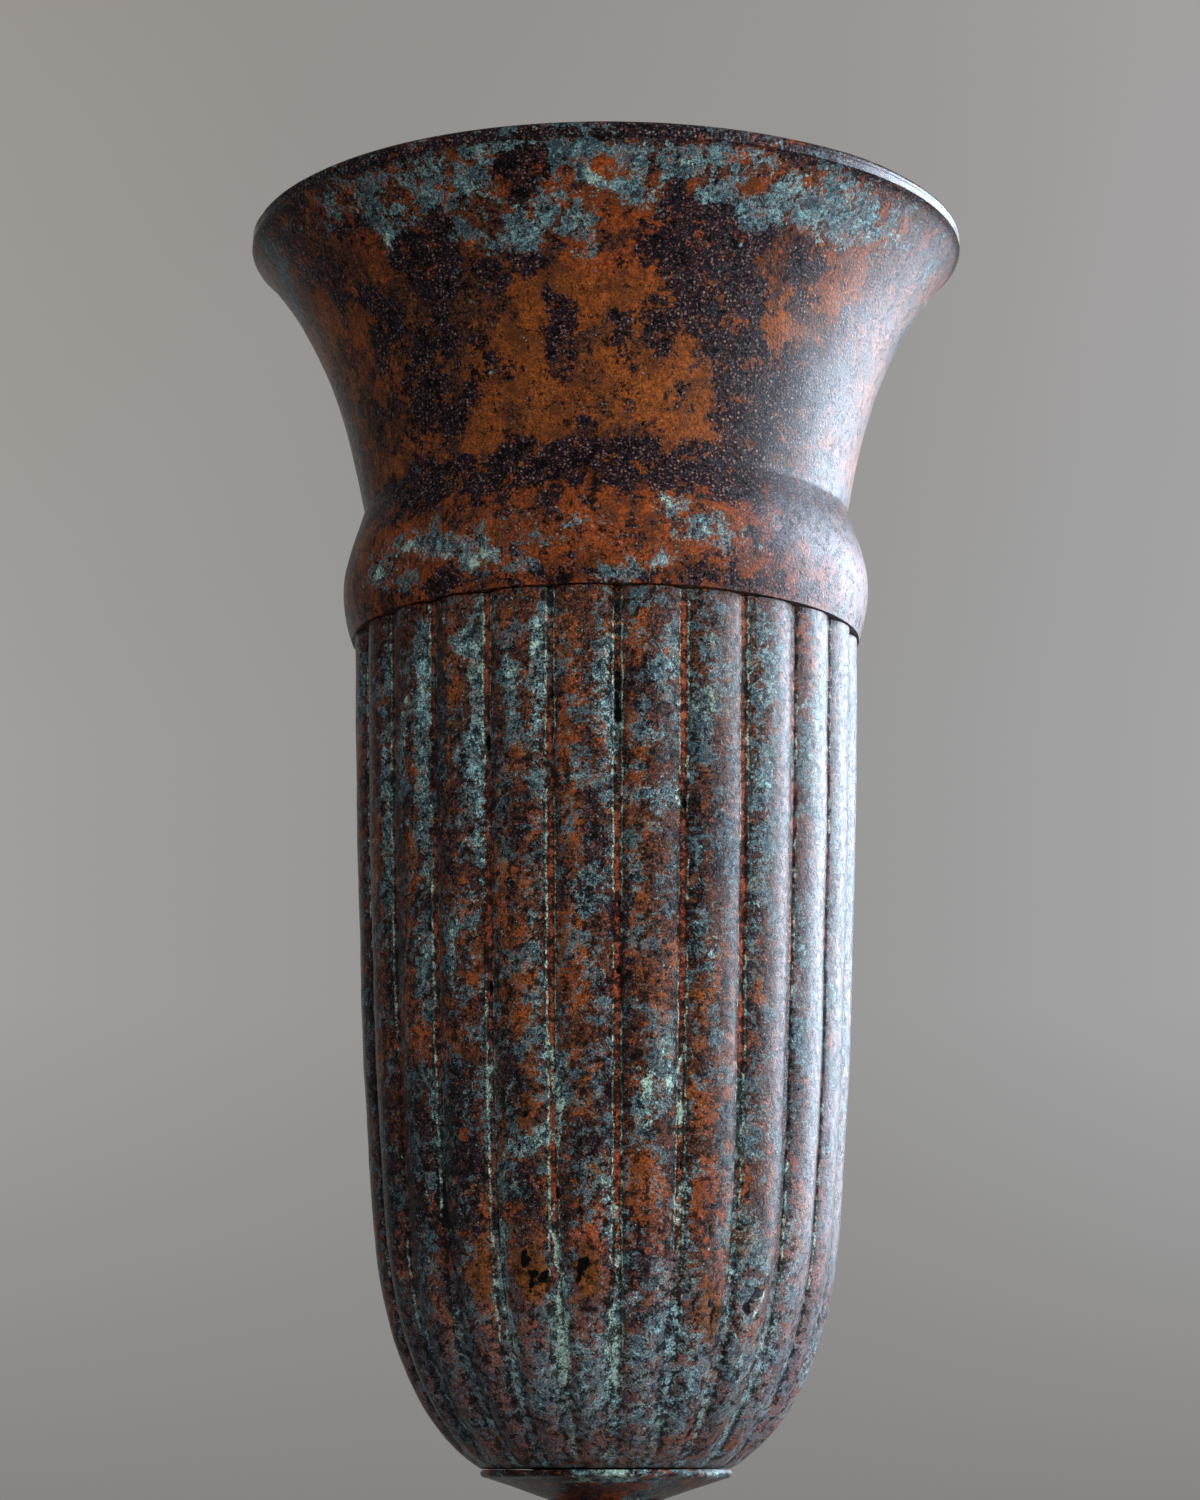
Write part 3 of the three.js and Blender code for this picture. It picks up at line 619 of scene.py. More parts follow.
# Spots that the photograph shows, as (degrees, height, half width, half height, strength)
beakerSpots = {
    "rust": [
        (-38, 250, 2.5, 7, 0.6), (-30, 210, 2, 7, 0.6), (-38, 191, 3, 8, 0.8),
        (-31, 135, 3.5, 9, 0.6), (-34, 228, 2, 6, 0.4), (-24, 220, 2.5, 20, 0.5),
        (-36, 286, 3, 8, 0.5), (-37, 262, 2.4, 12, 0.35), (-23, 258, 3, 10, 0.45),
        (-19, 266, 2, 6, 0.4), (-6, 282, 3, 7, 0.5), (-20, 298, 3, 4, 0.5),
        (-19, 205, 4, 14, 0.6), (-17, 180, 3, 10, 0.4), (-24, 245, 2, 14, 0.4),
        (-18, 240, 3, 12, 0.35), (-8, 265, 3, 12, 0.7), (-8, 295, 2.5, 6, 0.6),
        (-8, 238, 3, 12, 0.5), (-6, 212, 3.5, 16, 0.7), (-7, 180, 3, 12, 0.35),
        (6, 292, 3, 8, 0.5), (6, 266, 3, 10, 0.4), (5, 240, 3, 14, 0.4), (7, 218, 4, 12, 0.35),
        (9, 152, 4, 12, 0.8), (13, 180, 2, 9, 0.4), (12, 200, 3, 8, 0.4), (23, 154, 3, 8, 0.65),
        (28, 185, 3, 8, 0.5), (22, 175, 3, 7, 0.55), (22, 198, 3, 10, 0.35),
        (24, 290, 4, 8, 0.35), (36, 205, 3, 8, 0.3), (13, 132, 2, 9, 0.6), (-50, 200, 3, 12, 0.4),
        (-48, 235, 2, 20, 0.35), (-64, 245, 4, 18, 0.3), (-66, 190, 4, 14, 0.3),
        (38, 120, 3, 5, 0.3), (52, 290, 3, 9, 0.35), (-35, 300, 3, 5, 0.4), (26, 122, 4, 7, 0.5),
        (-3, 140, 3, 6, 0.3), (42, 170, 3, 8, 0.3), (52, 150, 3, 10, 0.3),
    ],
    "verdigris": [
        (-59, 262, 2.2, 36, 0.75), (-45, 280, 2.2, 24, 0.85), (-44.4, 248, 1.7, 16, 0.6),
        (-51, 268, 2, 18, 0.5), (-29.6, 270, 2, 38, 0.8), (-33, 296, 2.2, 5, 0.5),
        (-30, 226, 2, 8, 0.45), (-37, 220, 2.5, 6, 0.6), (-45, 212, 2.5, 8, 0.5),
        (-43, 170, 2.5, 14, 0.5), (-22, 288, 2.2, 6, 0.7), (-14.6, 285, 1.9, 18, 0.8),
        (-15, 258, 1.8, 10, 0.5), (-21, 277, 2.4, 5, 0.45), (-0.6, 284, 1.8, 12, 0.55),
        (0, 268, 1.8, 16, 0.65), (-7, 258, 2, 4, 0.5), (13.5, 288, 2.6, 10, 0.65),
        (10, 270, 4, 4, 0.6), (12, 252, 4, 5, 0.4), (22, 276, 3.5, 8, 0.55), (27, 288, 3, 8, 0.5),
        (22, 292, 3, 6, 0.4), (38, 290, 4.5, 14, 0.6), (37, 262, 4, 10, 0.5),
        (54, 272, 4, 22, 0.6), (-27.5, 188, 2, 16, 0.6), (-27, 160, 2.2, 14, 0.45),
        (-14.5, 212, 2.2, 10, 0.4), (-15, 190, 3, 12, 0.4), (-16, 166, 4, 3.5, 0.6),
        (-22, 163, 4, 4, 0.5), (-11.5, 178, 2, 12, 0.55), (-4, 225, 2.6, 14, 0.35),
        (0, 195, 2, 16, 0.35), (9, 176, 3, 10, 0.6), (14, 186, 2.4, 12, 0.6),
        (1, 150, 2.6, 12, 0.45), (-26.5, 122, 2, 22, 0.85), (-14, 112, 3, 16, 0.6),
        (-12, 120, 2, 16, 0.6), (-5, 110, 4, 12, 0.55), (2, 112, 3.5, 12, 0.75),
        (10, 108, 4, 12, 0.6), (14, 125, 3, 10, 0.45), (20, 110, 4, 12, 0.5),
        (5, 132, 3, 10, 0.3), (26, 108, 4, 10, 0.45), (36, 132, 5, 14, 0.5),
        (33, 150, 3, 12, 0.5), (40, 110, 5, 10, 0.6), (50, 115, 5, 14, 0.5),
        (52, 135, 4, 16, 0.4), (36, 170, 4, 12, 0.45), (52, 200, 4, 24, 0.45),
        (66, 230, 4, 50, 0.3), (18, 150, 2, 10, 0.6), (-2, 98, 9, 5, 0.5), (18, 96, 12, 5, 0.5),
        (-20, 105, 4, 8, 0.4), (-55, 205, 3, 6, 0.3), (20, 135, 3, 8, 0.35),
        (-36, 210, 2.5, 4, 0.5), (48, 98, 12, 5, 0.4), (22, 220, 5, 14, 0.2),
        (36, 235, 4, 14, 0.3),
    ],
    "dark": [
        (-39, 270, 2.5, 26, 0.7), (-41, 165, 4, 24, 0.8), (-35, 165, 4, 20, 0.75),
        (-35, 240, 2.4, 8, 0.4), (-50, 160, 5, 22, 0.75), (-53, 120, 4, 22, 0.7),
        (-40, 125, 4, 16, 0.5), (-66, 150, 6, 30, 0.8), (-46, 228, 3, 8, 0.6),
        (-58, 215, 2.4, 14, 0.6), (-22, 250, 2.6, 14, 0.5), (-26, 262, 1.6, 14, 0.5),
        (-24, 200, 3, 20, 0.4), (-20, 153, 4, 6, 0.7), (-22, 180, 3, 10, 0.4),
        (-8, 230, 3, 10, 0.3), (-3, 235, 2.6, 20, 0.5), (4, 222, 2.4, 18, 0.65),
        (3.5, 190, 3, 16, 0.5), (0, 170, 3, 10, 0.4), (-5, 163, 4, 8, 0.5), (-7, 150, 4, 6, 0.5),
        (6, 140, 5, 8, 0.45), (3, 128, 3, 8, 0.5), (9, 282, 3, 8, 0.45), (19, 232, 3, 18, 0.7),
        (26, 245, 4, 16, 0.4), (34, 225, 3, 30, 0.5), (20, 262, 2.4, 12, 0.3),
        (17, 140, 3, 8, 0.4), (28, 168, 3, 6, 0.35), (35, 190, 2.5, 18, 0.4),
        (-14, 95, 10, 8, 0.4), (24, 96, 8, 5, 0.35), (-36, 100, 8, 12, 0.55),
        (-60, 105, 8, 16, 0.6), (48, 190, 2, 40, 0.5), (48, 150, 3, 12, 0.45),
        (60, 240, 2.4, 40, 0.4), (-70, 250, 3, 40, 0.6), (-54, 250, 2, 40, 0.35),
        (7, 100, 5, 6, 0.35), (38, 100, 5, 6, 0.35), (33, 108, 3, 8, 0.35),
        (-32, 262, 1.8, 12, 0.3), (-10, 280, 1.6, 8, 0.4), (4, 300, 2, 6, 0.4),
    ],
    "mint": [
        (-22, 288, 1.6, 3, 0.5), (-15, 294, 1.4, 6, 0.4), (-33, 296, 2, 4, 0.35),
        (-50, 278, 1.6, 8, 0.35), (-31, 243, 2.6, 2.2, 0.4), (-37, 220, 1.6, 4, 0.5),
        (-11.5, 178, 1.5, 8, 0.4), (-15, 165, 2.5, 1.6, 0.55), (9, 178, 1.4, 5, 0.6),
        (10, 168, 2.4, 3, 0.5), (13.5, 186, 1.6, 8, 0.5), (10, 271, 2.6, 1.6, 0.35),
        (2.5, 113, 1.8, 6, 0.75), (2, 104, 2.4, 4, 0.45), (-11, 112, 1.3, 12, 0.6),
        (-27, 142, 1.6, 5, 0.4), (1, 152, 1.4, 6, 0.35), (14, 180, 1.6, 3, 0.5),
        (-5, 296, 2, 4, 0.3), (1, 288, 1, 8, 0.5), (16.5, 252, 1.8, 2, 0.5),
        (41, 124, 1.4, 3, 0.5), (37, 284, 2, 6, 0.3), (54, 280, 2, 10, 0.35),
        (-27.5, 182, 1.2, 8, 0.5), (18, 150, 1, 8, 0.5), (-12.6, 130, 1.1, 18, 0.7),
        (-12.9, 110, 1.7, 9, 0.6), (2.4, 140, 0.9, 14, 0.5), (2.6, 118, 1.5, 9, 0.6),
        (-27.2, 124, 1.1, 16, 0.45), (-12.4, 176, 0.9, 20, 0.45), (17.6, 178, 0.9, 14, 0.5),
        (-17, 272, 1.4, 3, 0.4), (-45, 288, 1.8, 8, 0.35),
    ],
    "halo": [
        (-19, 134, 4.5, 8, 0.75), (-5.5, 133, 3.6, 7, 0.7), (-31, 134, 3.4, 9, 0.5),
        (-18.5, 172, 3, 6, 0.55), (26, 122, 4.5, 8, 0.6), (41, 124, 3, 4, 0.3),
        (-9.5, 122, 1, 3, 0.6),
    ],
    "pit": [
        (-19.6, 135.2, 1.3, 1.6, 1), (-18, 132.2, 1.7, 1.4, 1), (-15.8, 130.4, 1.4, 1, 1),
        (-20.6, 137.4, 0.8, 1.4, 0.9), (-18.4, 129.4, 0.7, 1.6, 0.9),
        (-14.8, 132.6, 0.8, 0.8, 0.9), (-5.6, 134.4, 1.4, 2.2, 0.95),
        (-6.6, 130.8, 1.1, 1.8, 0.9), (26.5, 125.5, 1.4, 2, 0.85), (27.6, 121, 0.8, 3, 0.85),
        (28.4, 117.6, 1.3, 0.9, 0.85), (38.2, 124, 1.3, 2.4, 0.9), (40.6, 127.5, 1.4, 1.6, 0.9),
        (42.8, 130, 1, 1, 0.85), (39.4, 121, 0.7, 1.4, 0.8), (-18.6, 172, 0.7, 1.6, 0.8),
        (-31, 135, 0.6, 1.8, 0.6), (2.5, 285, 0.8, 10, 0.55), (-27.3, 269, 0.6, 2.4, 0.9),
        (-11.6, 152, 0.6, 1.6, 0.9), (17.8, 252, 0.6, 2, 0.8), (-11.3, 134, 0.5, 1, 0.8),
        (2.8, 209, 0.6, 1.2, 0.9), (17.9, 160, 0.5, 1, 0.8), (2.6, 275, 0.7, 2, 0.9),
        (-12, 281, 0.5, 1.4, 0.8), (3, 226, 0.5, 1.4, 0.8), (-27.4, 205, 0.5, 1.4, 0.8),
    ],
}


# Where the pale line beside the channels is strong
beakerEdges = [
    (-12.5, 288, 2.4, 20, 0.9), (-12.5, 230, 2.2, 24, 0.6), (-12.5, 175, 2.6, 46, 1),
    (-11, 120, 2.6, 26, 1), (-12.5, 215, 2.6, 30, 0.9), (2.5, 262, 2.2, 40, 0.8),
    (2.5, 170, 2, 30, 0.5), (2.5, 112, 2.4, 18, 0.9), (17.5, 186, 2.4, 26, 1),
    (17.5, 150, 2, 20, 0.6), (17.5, 285, 2.2, 16, 0.5), (-27.5, 285, 2.2, 22, 0.6),
    (-27.5, 170, 2.2, 24, 0.8), (-27.5, 122, 2.4, 24, 0.9), (-42.5, 200, 2.4, 46, 0.6),
    (-57.5, 240, 2.6, 50, 0.7), (32.5, 175, 2.2, 30, 0.5), (32.5, 270, 2.2, 20, 0.4),
    (120, 240, 50, 30, 0.5), (200, 170, 60, 40, 0.5), (250, 260, 40, 30, 0.5),
]


def paintBeaker(casting):
    wandered = wandering(casting, 60)
    degrees, height, paints = casting.degrees, casting.height, casting.paints
    isOuter, fromChannel = casting.isOuter, casting.fromChannel
    heights = (95, 305)
    unseen = {
        "rust": chanceSpots(1, 70, heights, 3.4, 10, 0.6),
        "verdigris": chanceSpots(2, 80, heights, 3.2, 11, 0.65),
        "dark": chanceSpots(3, 60, heights, 3.6, 16, 0.6),
        "mint": chanceSpots(4, 40, heights, 1.6, 5, 0.45),
        "halo": chanceSpots(5, 6, (105, 180), 3.6, 8, 0.7),
    }
    unseen["pit"] = [(at, up, 1.3, 2.2, 0.9) for at, up, _, _, _ in unseen["halo"]]
    small = {
        "rust": chanceSpots(11, 240, heights, 1.3, 3.5, 0.45, everywhere),
        "verdigris": chanceSpots(12, 260, heights, 1.2, 3.2, 0.4, everywhere),
        "dark": chanceSpots(13, 220, heights, 1.3, 4, 0.45, everywhere),
        "mint": chanceSpots(14, 70, heights, 0.9, 2.4, 0.35, everywhere),
    }
    spots = {name: beakerSpots[name] + unseen[name] + small.get(name, []) for name in beakerSpots}
    pits = {"pit": spots.pop("pit")}  # these have sharp edges
    casting.paintSpots(beaker["base"], *wandered, spots)
    casting.paintSpots(beaker["base"], degrees, height, pits)
    # patina layers push each other out
    casting.thin("dark", 0.35 * paints["verdigris"])
    casting.thin("rust", 0.3 * paints["dark"])
    # the round bottom is rustier, paler and bluer; the paler, bluer part is partly patina and partly
    # painted light that lifts the shade low down
    casting.add("rust", 0.15 * (1 - smooth(height, 140, 175)))
    casting.add("halo", 0.34 * (1 - smooth(height, 88, 106)))
    casting.thin("dark", 0.4 * (1 - smooth(height, 90, 110)))
    bluer = 1 - smooth(height, 88, 130)
    casting.add("verdigris", 0.12 * bluer * (1 - smooth(height, 84, 90)) + 0.08 * bluer)
    # channel floors, with a thin crust along both edges
    worn = smooth(casting.roughen([(38, 0.6), (9, 0.4)], 70), -0.35, 0.15)
    paints["floorShown"] = np.where(isOuter, worn * smooth(height, 122, 150) * 0.95, 0)
    paints["gully"] = np.where(isOuter, (fromChannel - casting.halfWidth + 2) / 8, 1)
    broken = smooth(casting.roughen([(24, 0.6), (6, 0.4)], 80), -0.45, 0.4)
    edges = 1 - (0.75 - 0.35 * broken) * (1 - spotted(degrees, height, beakerEdges))
    paints["edgeShown"] = np.where(isOuter, edges * (0.3 + 0.7 * casting.crisp), 0)
    casting.blank("polish")
    # painted sheen down the right flank, and a paler bluish bloom low on the bowl that is partly patina
    # and partly painted light bounced up from below
    sheenSide = smooth(degrees, 38, 60) * (1 - smooth(degrees, 84, 106))
    paints["bloomAndSheen"] = 0.38 * (1 - smooth(height, 100, 150)) + 0.34 * sheenSide
    paints["red"] = 0.22 + 0.8 * casting.roughen([(34, 0.6), (9, 0.4)], 170)
    # low down the channels gather verdigris, and a dark line runs beside them everywhere
    low = (1 - smooth(fromChannel, 0.5, 2.6)) * (1 - smooth(height, 112, 150))
    casting.add("verdigris", np.where(isOuter, low * 0.45, 0))
    inChannel = 1 - smooth(fromChannel, casting.halfWidth - 0.1, casting.halfWidth + 0.15)
    beside = (1 - smooth(fromChannel, 0.9, 2.0)) * (1 - inChannel)
    casting.add("dark", np.where(isOuter, beside * 0.1, 0))
    for name in paints:
        if name not in ("dark", "gully", "red"):
            paints[name] = np.where(isOuter, paints[name], paints[name] * 0.4)
    casting.push(-beaker["pitDepth"] * paints["pit"] * isOuter)


def makeBeaker():
    casting = beakerCasting()
    paintBeaker(casting)
    made = casting.build("reededBeaker")
    made.data.materials.append(patinaMaterial("bodyPatina", beaker["looks"]))
    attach(made, "root")
    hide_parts("body_casting")
    print("beaker", len(made.data.vertices), "vertices")
    return made


# Trumpet mouth, collar and spigot
mouth = {
    "foot": 309.3, "height": 116, "collarFoot": 70.6, "collarRadius": 73.3, "collarBulge": 14.5,
    "notchHeight": 36.5, "notchRadius": 67.7, "trumpetRadius": 99.2, "lipRadius": 100.5,
    "lipHeight": 4, "lipRound": 1.4, "innerRound": 1.2, "groove": 0.12, "grooveDrop": 1.85,
    "wall": 4.5, "spigotRadius": 62.7, "spigotInner": 57.7, "spigotDepth": 18, "throatFoot": 0.3,
    "jointGap": 0.15,
    "columns": 400, "roughCast": [(34, 0.25), (11, 0.12), (4, 0.06)], "sunk": 0.2,
    "base": {"rust": 0.36, "verdigris": 0.03, "dark": 0.26, "mint": 0.0, "halo": 0.0, "pit": 0.0},
    "looks": {
        "grain": 0.8, "fleck": 0.27, "fleckInDark": 0.42, "pinheads": 0.85, "film": 0.72,
        "through": 0.6, "paleSpecks": 0.02, "olive": 0.12, "filmLow": 0.05, "rough": 0.3,
        "gloss": 0.58, "brown": 0.8, "crust": 0.74, "light": 0.93,
    },
}


def mouthOutline():
    size = mouth
    lip, top, lipRound = size["lipRadius"], size["height"], size["lipRound"]
    trumpetEdge = (size["trumpetRadius"], top - size["lipHeight"] - 1)
    lipFoot = (lip, top - size["lipHeight"])
    collarFoot = (size["collarFoot"], size["jointGap"])
    notch = (size["notchRadius"], size["notchHeight"])
    widest = (size["collarRadius"], size["collarBulge"])
    groove = top - size["grooveDrop"]
    outer, inner, below = size["spigotRadius"], size["spigotInner"], -size["spigotDepth"]
    throatFoot = (inner, size["throatFoot"])
    collarBelow = sweep(collarFoot, (0.5, 0.25), (1, 0.6), widest)
    collarAbove = sweep(widest, (0, 0.33), (0.55, 0.62), notch)
    trumpet = sweep(notch, (0.152, 0.343), (0.389, 0.708), trumpetEdge)
    inside = innerFace(trumpet, size["wall"])[::-1]
    innerEdge = (inside[0][0] + size["innerRound"], top)
    throat = sweep(inside[-1], (0.1, 0.4), (1, 0.5), throatFoot)
    outline = outlineOf(
        ([(outer, below), (outer, size["jointGap"]), collarFoot], 4),
        (collarBelow, 1.3), (collarAbove, 1.3), (trumpet, 1.5),
        ([trumpetEdge, lipFoot], 0.8),
        ([
            lipFoot, (lip, groove - 0.25), (lip - size["groove"], groove),
            (lip, groove + 0.25), (lip, top - lipRound),
        ], 0.25),
        (arc((lip - lipRound, top - lipRound), lipRound, 0, 90), 0.5),
        ([(lip - lipRound, top), innerEdge], 1.2),
        (np.concatenate([[innerEdge], inside[1:]]), 2.2), (throat, 2.4),
        ([throatFoot, (inner, below)], 3),
        ([(inner, below), (outer, below)], 2.5),
    )
    outline[:, 1] += size["foot"]
    return outline


# As for the beaker; a half width of 200 degrees is a band all the way round
mouthSpots = {
    "rust": [
        (-20, 370, 8, 8, 0.9), (-17, 355, 10, 8, 0.95), (-28, 352, 7, 6, 0.85),
        (-14, 380, 4, 6, 0.6), (2, 362, 9, 10, 0.5), (16, 361, 8, 7, 0.95), (21, 368, 4, 4, 0.9),
        (18, 350, 9, 5, 0.9), (-5, 391, 4, 8, 0.85), (5, 391, 5, 7, 0.75), (-15, 388, 4, 5, 0.7),
        (-60, 350, 8, 7, 0.6), (-45, 353, 6, 6, 0.5), (-70, 395, 6, 9, 0.75),
        (-58, 388, 7, 10, 0.6), (-74, 408, 6, 6, 0.6), (-52, 376, 5, 6, 0.5),
        (40, 380, 5, 5, 0.7), (35, 381, 3, 3, 0.7), (50, 397, 7, 10, 0.65), (45, 405, 6, 5, 0.5),
        (-8, 411, 3, 4, 0.85), (3, 406, 5, 4, 0.8), (1, 415, 3, 3, 0.7), (14, 409, 2, 3, 0.7),
        (-28, 409, 3, 3, 0.6), (24, 413, 3, 2.4, 0.6), (-1, 409, 4, 3, 0.6), (9, 405, 4, 4, 0.5),
        (-38, 372, 4, 4, 0.5), (-50, 410, 8, 6, 0.4), (-24, 395, 2, 3, 0.4),
        (-48, 400, 4, 6, 0.4), (60, 380, 5, 10, 0.4), (72, 392, 6, 5, 0.5),
        (-65, 370, 8, 14, 0.35), (30, 395, 4, 6, 0.3), (25, 410, 5, 3, 0.3), (0, 380, 8, 6, 0.5),
        (0, 328, 200, 9, 0.55), (0, 314, 200, 6, 0.75), (-38, 333, 10, 3, 0.5),
        (-15, 333, 6, 4, 0.5), (5, 331, 10, 5, 0.55), (28, 331, 8, 4, 0.6), (-64, 330, 8, 8, 0.5),
    ],
    "verdigris": [
        (-45, 415, 7, 4, 0.5), (-41, 405, 3, 4, 0.8), (-40, 410, 4, 4, 0.6),
        (-33, 417, 7, 4, 0.75), (-27, 402, 3, 2.4, 0.6), (-27, 413, 5, 5, 0.55),
        (-20, 416, 4, 4, 0.7), (-15, 402, 4, 3, 0.6), (-15, 420, 4, 2.4, 0.6),
        (-8, 414, 4, 5, 0.75), (0, 414, 5, 5, 0.8), (5, 411, 4, 5, 0.6), (12, 415, 5, 4.5, 0.8),
        (16, 411, 3, 4, 0.5), (22, 416, 5, 3, 0.65), (33, 415, 6, 3, 0.6), (42, 414, 5, 4, 0.5),
        (48, 410, 5, 5, 0.8), (60, 412, 6, 4, 0.4), (-20, 400, 5, 3, 0.65), (-14, 399, 4, 3, 0.6),
        (-5, 402, 4, 3, 0.5), (-3, 396, 2, 5, 0.55), (-8, 405, 5, 3, 0.55), (-16, 404, 4, 3, 0.6),
        (-34, 409, 5, 4, 0.5), (8, 407, 4, 3, 0.5), (-56, 414, 8, 4, 0.3), (-2, 388, 1.2, 4, 0.4),
        (0, 419, 60, 2, 0.35), (54, 404, 4, 4, 0.4), (-30, 392, 3, 2, 0.45),
        (-58, 323, 8, 4.4, 0.75), (-46, 325, 7, 4, 0.8), (-36, 322, 7, 3.6, 0.8),
        (-27, 319, 6, 4.4, 0.9), (-24, 325, 4, 3, 0.7), (-50, 318, 8, 3, 0.75),
        (-5, 326, 5, 2.4, 0.6), (12, 330, 4, 3.6, 0.8), (17, 324, 5.4, 3.6, 0.8),
        (22, 326, 4, 5.4, 0.85), (25, 320, 6, 2.8, 0.8), (4, 314, 6, 2.6, 0.75),
        (9, 317, 6, 2.8, 0.7), (35, 329, 7, 4, 0.65), (-18, 315, 6, 2.4, 0.7),
        (14, 333, 5, 2.4, 0.7), (-40, 330, 6, 2, 0.5), (-14, 321, 6, 2, 0.4),
        (50, 322, 8, 3, 0.4), (0, 413, 66, 9, 0.45), (-62, 415, 6, 3, 0.3), (22, 407, 6, 4, 0.6),
        (33, 410, 6, 5, 0.6), (43, 406, 6, 5, 0.6), (30, 322, 8, 5, 0.4), (0, 322, 90, 9, 0.36),
    ],
    "dark": [
        (-13.4, 412, 3.6, 6.4, 1), (-10.6, 416, 2.4, 4, 0.8), (6, 415, 1.2, 4, 0.8),
        (-34, 394, 6, 8, 0.85), (-22, 392, 3, 6, 0.9), (-30, 366, 3.4, 5, 0.7),
        (-24, 370, 4.4, 3, 0.95), (-27, 374, 2, 4, 0.7), (-11, 374, 0.9, 6, 0.95),
        (-43, 363, 6, 12, 0.8), (-50, 385, 6, 10, 0.45), (-60, 370, 8, 8, 0.35),
        (-78, 396, 3, 5, 0.8), (-37, 378, 6, 6, 0.7), (-34, 358, 4, 4, 0.6),
        (18, 396, 10, 9, 0.95), (9, 395, 4, 6, 0.85), (27, 378, 7, 12, 0.85),
        (32, 360, 9, 14, 0.85), (15, 380, 6, 5, 0.8), (20, 384, 6, 6, 0.85),
        (-37, 401, 5, 4, 0.75), (-30, 406, 3, 4, 0.7), (10, 408, 2.6, 4, 0.6),
        (26, 405, 8, 5, 0.7), (40, 396, 6, 6, 0.5), (44, 365, 8, 14, 0.65), (58, 370, 8, 20, 0.5),
        (-70, 410, 8, 6, 0.5), (-17, 396, 3, 3, 0.5), (-14, 391, 1.4, 4, 0.5),
        (3, 377, 3, 3, 0.4), (-60, 400, 6, 8, 0.25), (0, 343, 200, 4.4, 0.85),
        (0, 338, 200, 3.6, 0.8), (-30, 334, 4, 3, 0.6), (-22, 332, 4, 3, 0.5),
        (-52, 334, 10, 3, 0.5), (0, 310, 200, 1.4, 0.6), (44, 335, 14, 6, 0.5),
        (-13, 329, 3, 3, 0.35), (0, 422.5, 200, 2.6, 0.6), (-5, 346.5, 60, 2, 0.5),
        (36, 336, 12, 5, 0.7), (48, 328, 12, 5, 0.6), (34, 322, 6, 3, 0.5), (60, 334, 10, 6, 0.5),
        (-20, 329, 4, 2.4, 0.6), (-12, 333, 3, 2, 0.6), (44, 316, 12, 2.4, 0.35),
        (14, 404, 8, 5, 0.8), (10, 412, 3, 5, 0.75), (-34, 400, 8, 6, 0.5), (-48, 412, 8, 5, 0.5),
        (-9.5, 381, 3.2, 5, 0.8), (-13, 393, 3, 4, 0.75), (3, 371, 2, 3, 0.6),
        (12, 372, 2, 3, 0.6), (-4, 352, 2, 3, 0.5), (2, 323, 5, 1.6, 0.35),
        (-34, 314, 8, 1.6, 0.35), (14, 313, 8, 1.2, 0.4),
    ],
    "mint": [
        (-41, 405, 2, 3, 0.5), (0, 413, 3, 3, 0.4), (12, 415, 3, 3, 0.4), (-27, 401, 2, 1.4, 0.4),
        (48, 410, 3, 3, 0.35), (-27, 318, 3, 2, 0.55), (-45, 323, 4, 2, 0.4),
        (-56, 321, 5, 2.4, 0.45), (-36, 320, 3, 1.6, 0.4), (18, 323, 3, 1.6, 0.45),
        (25, 325, 2, 3, 0.4), (12, 331, 2, 2, 0.35), (-8, 414, 2, 2, 0.3),
        (-20, 400, 2, 1.6, 0.3), (4, 314, 3, 1.4, 0.35),
    ],
    "halo": [(-20, 356, 5, 4, 0.25), (14, 355, 6, 5, 0.2)],
    "pit": [(8.4, 353, 0.5, 0.8, 0.9), (-12, 363, 0.5, 0.8, 0.7)],
}


def withoutChannels(casting):
    casting.blank("polish", "bloomAndSheen", "floorShown", "edgeShown")
    casting.paints["gully"] = np.ones(casting.radius.shape)


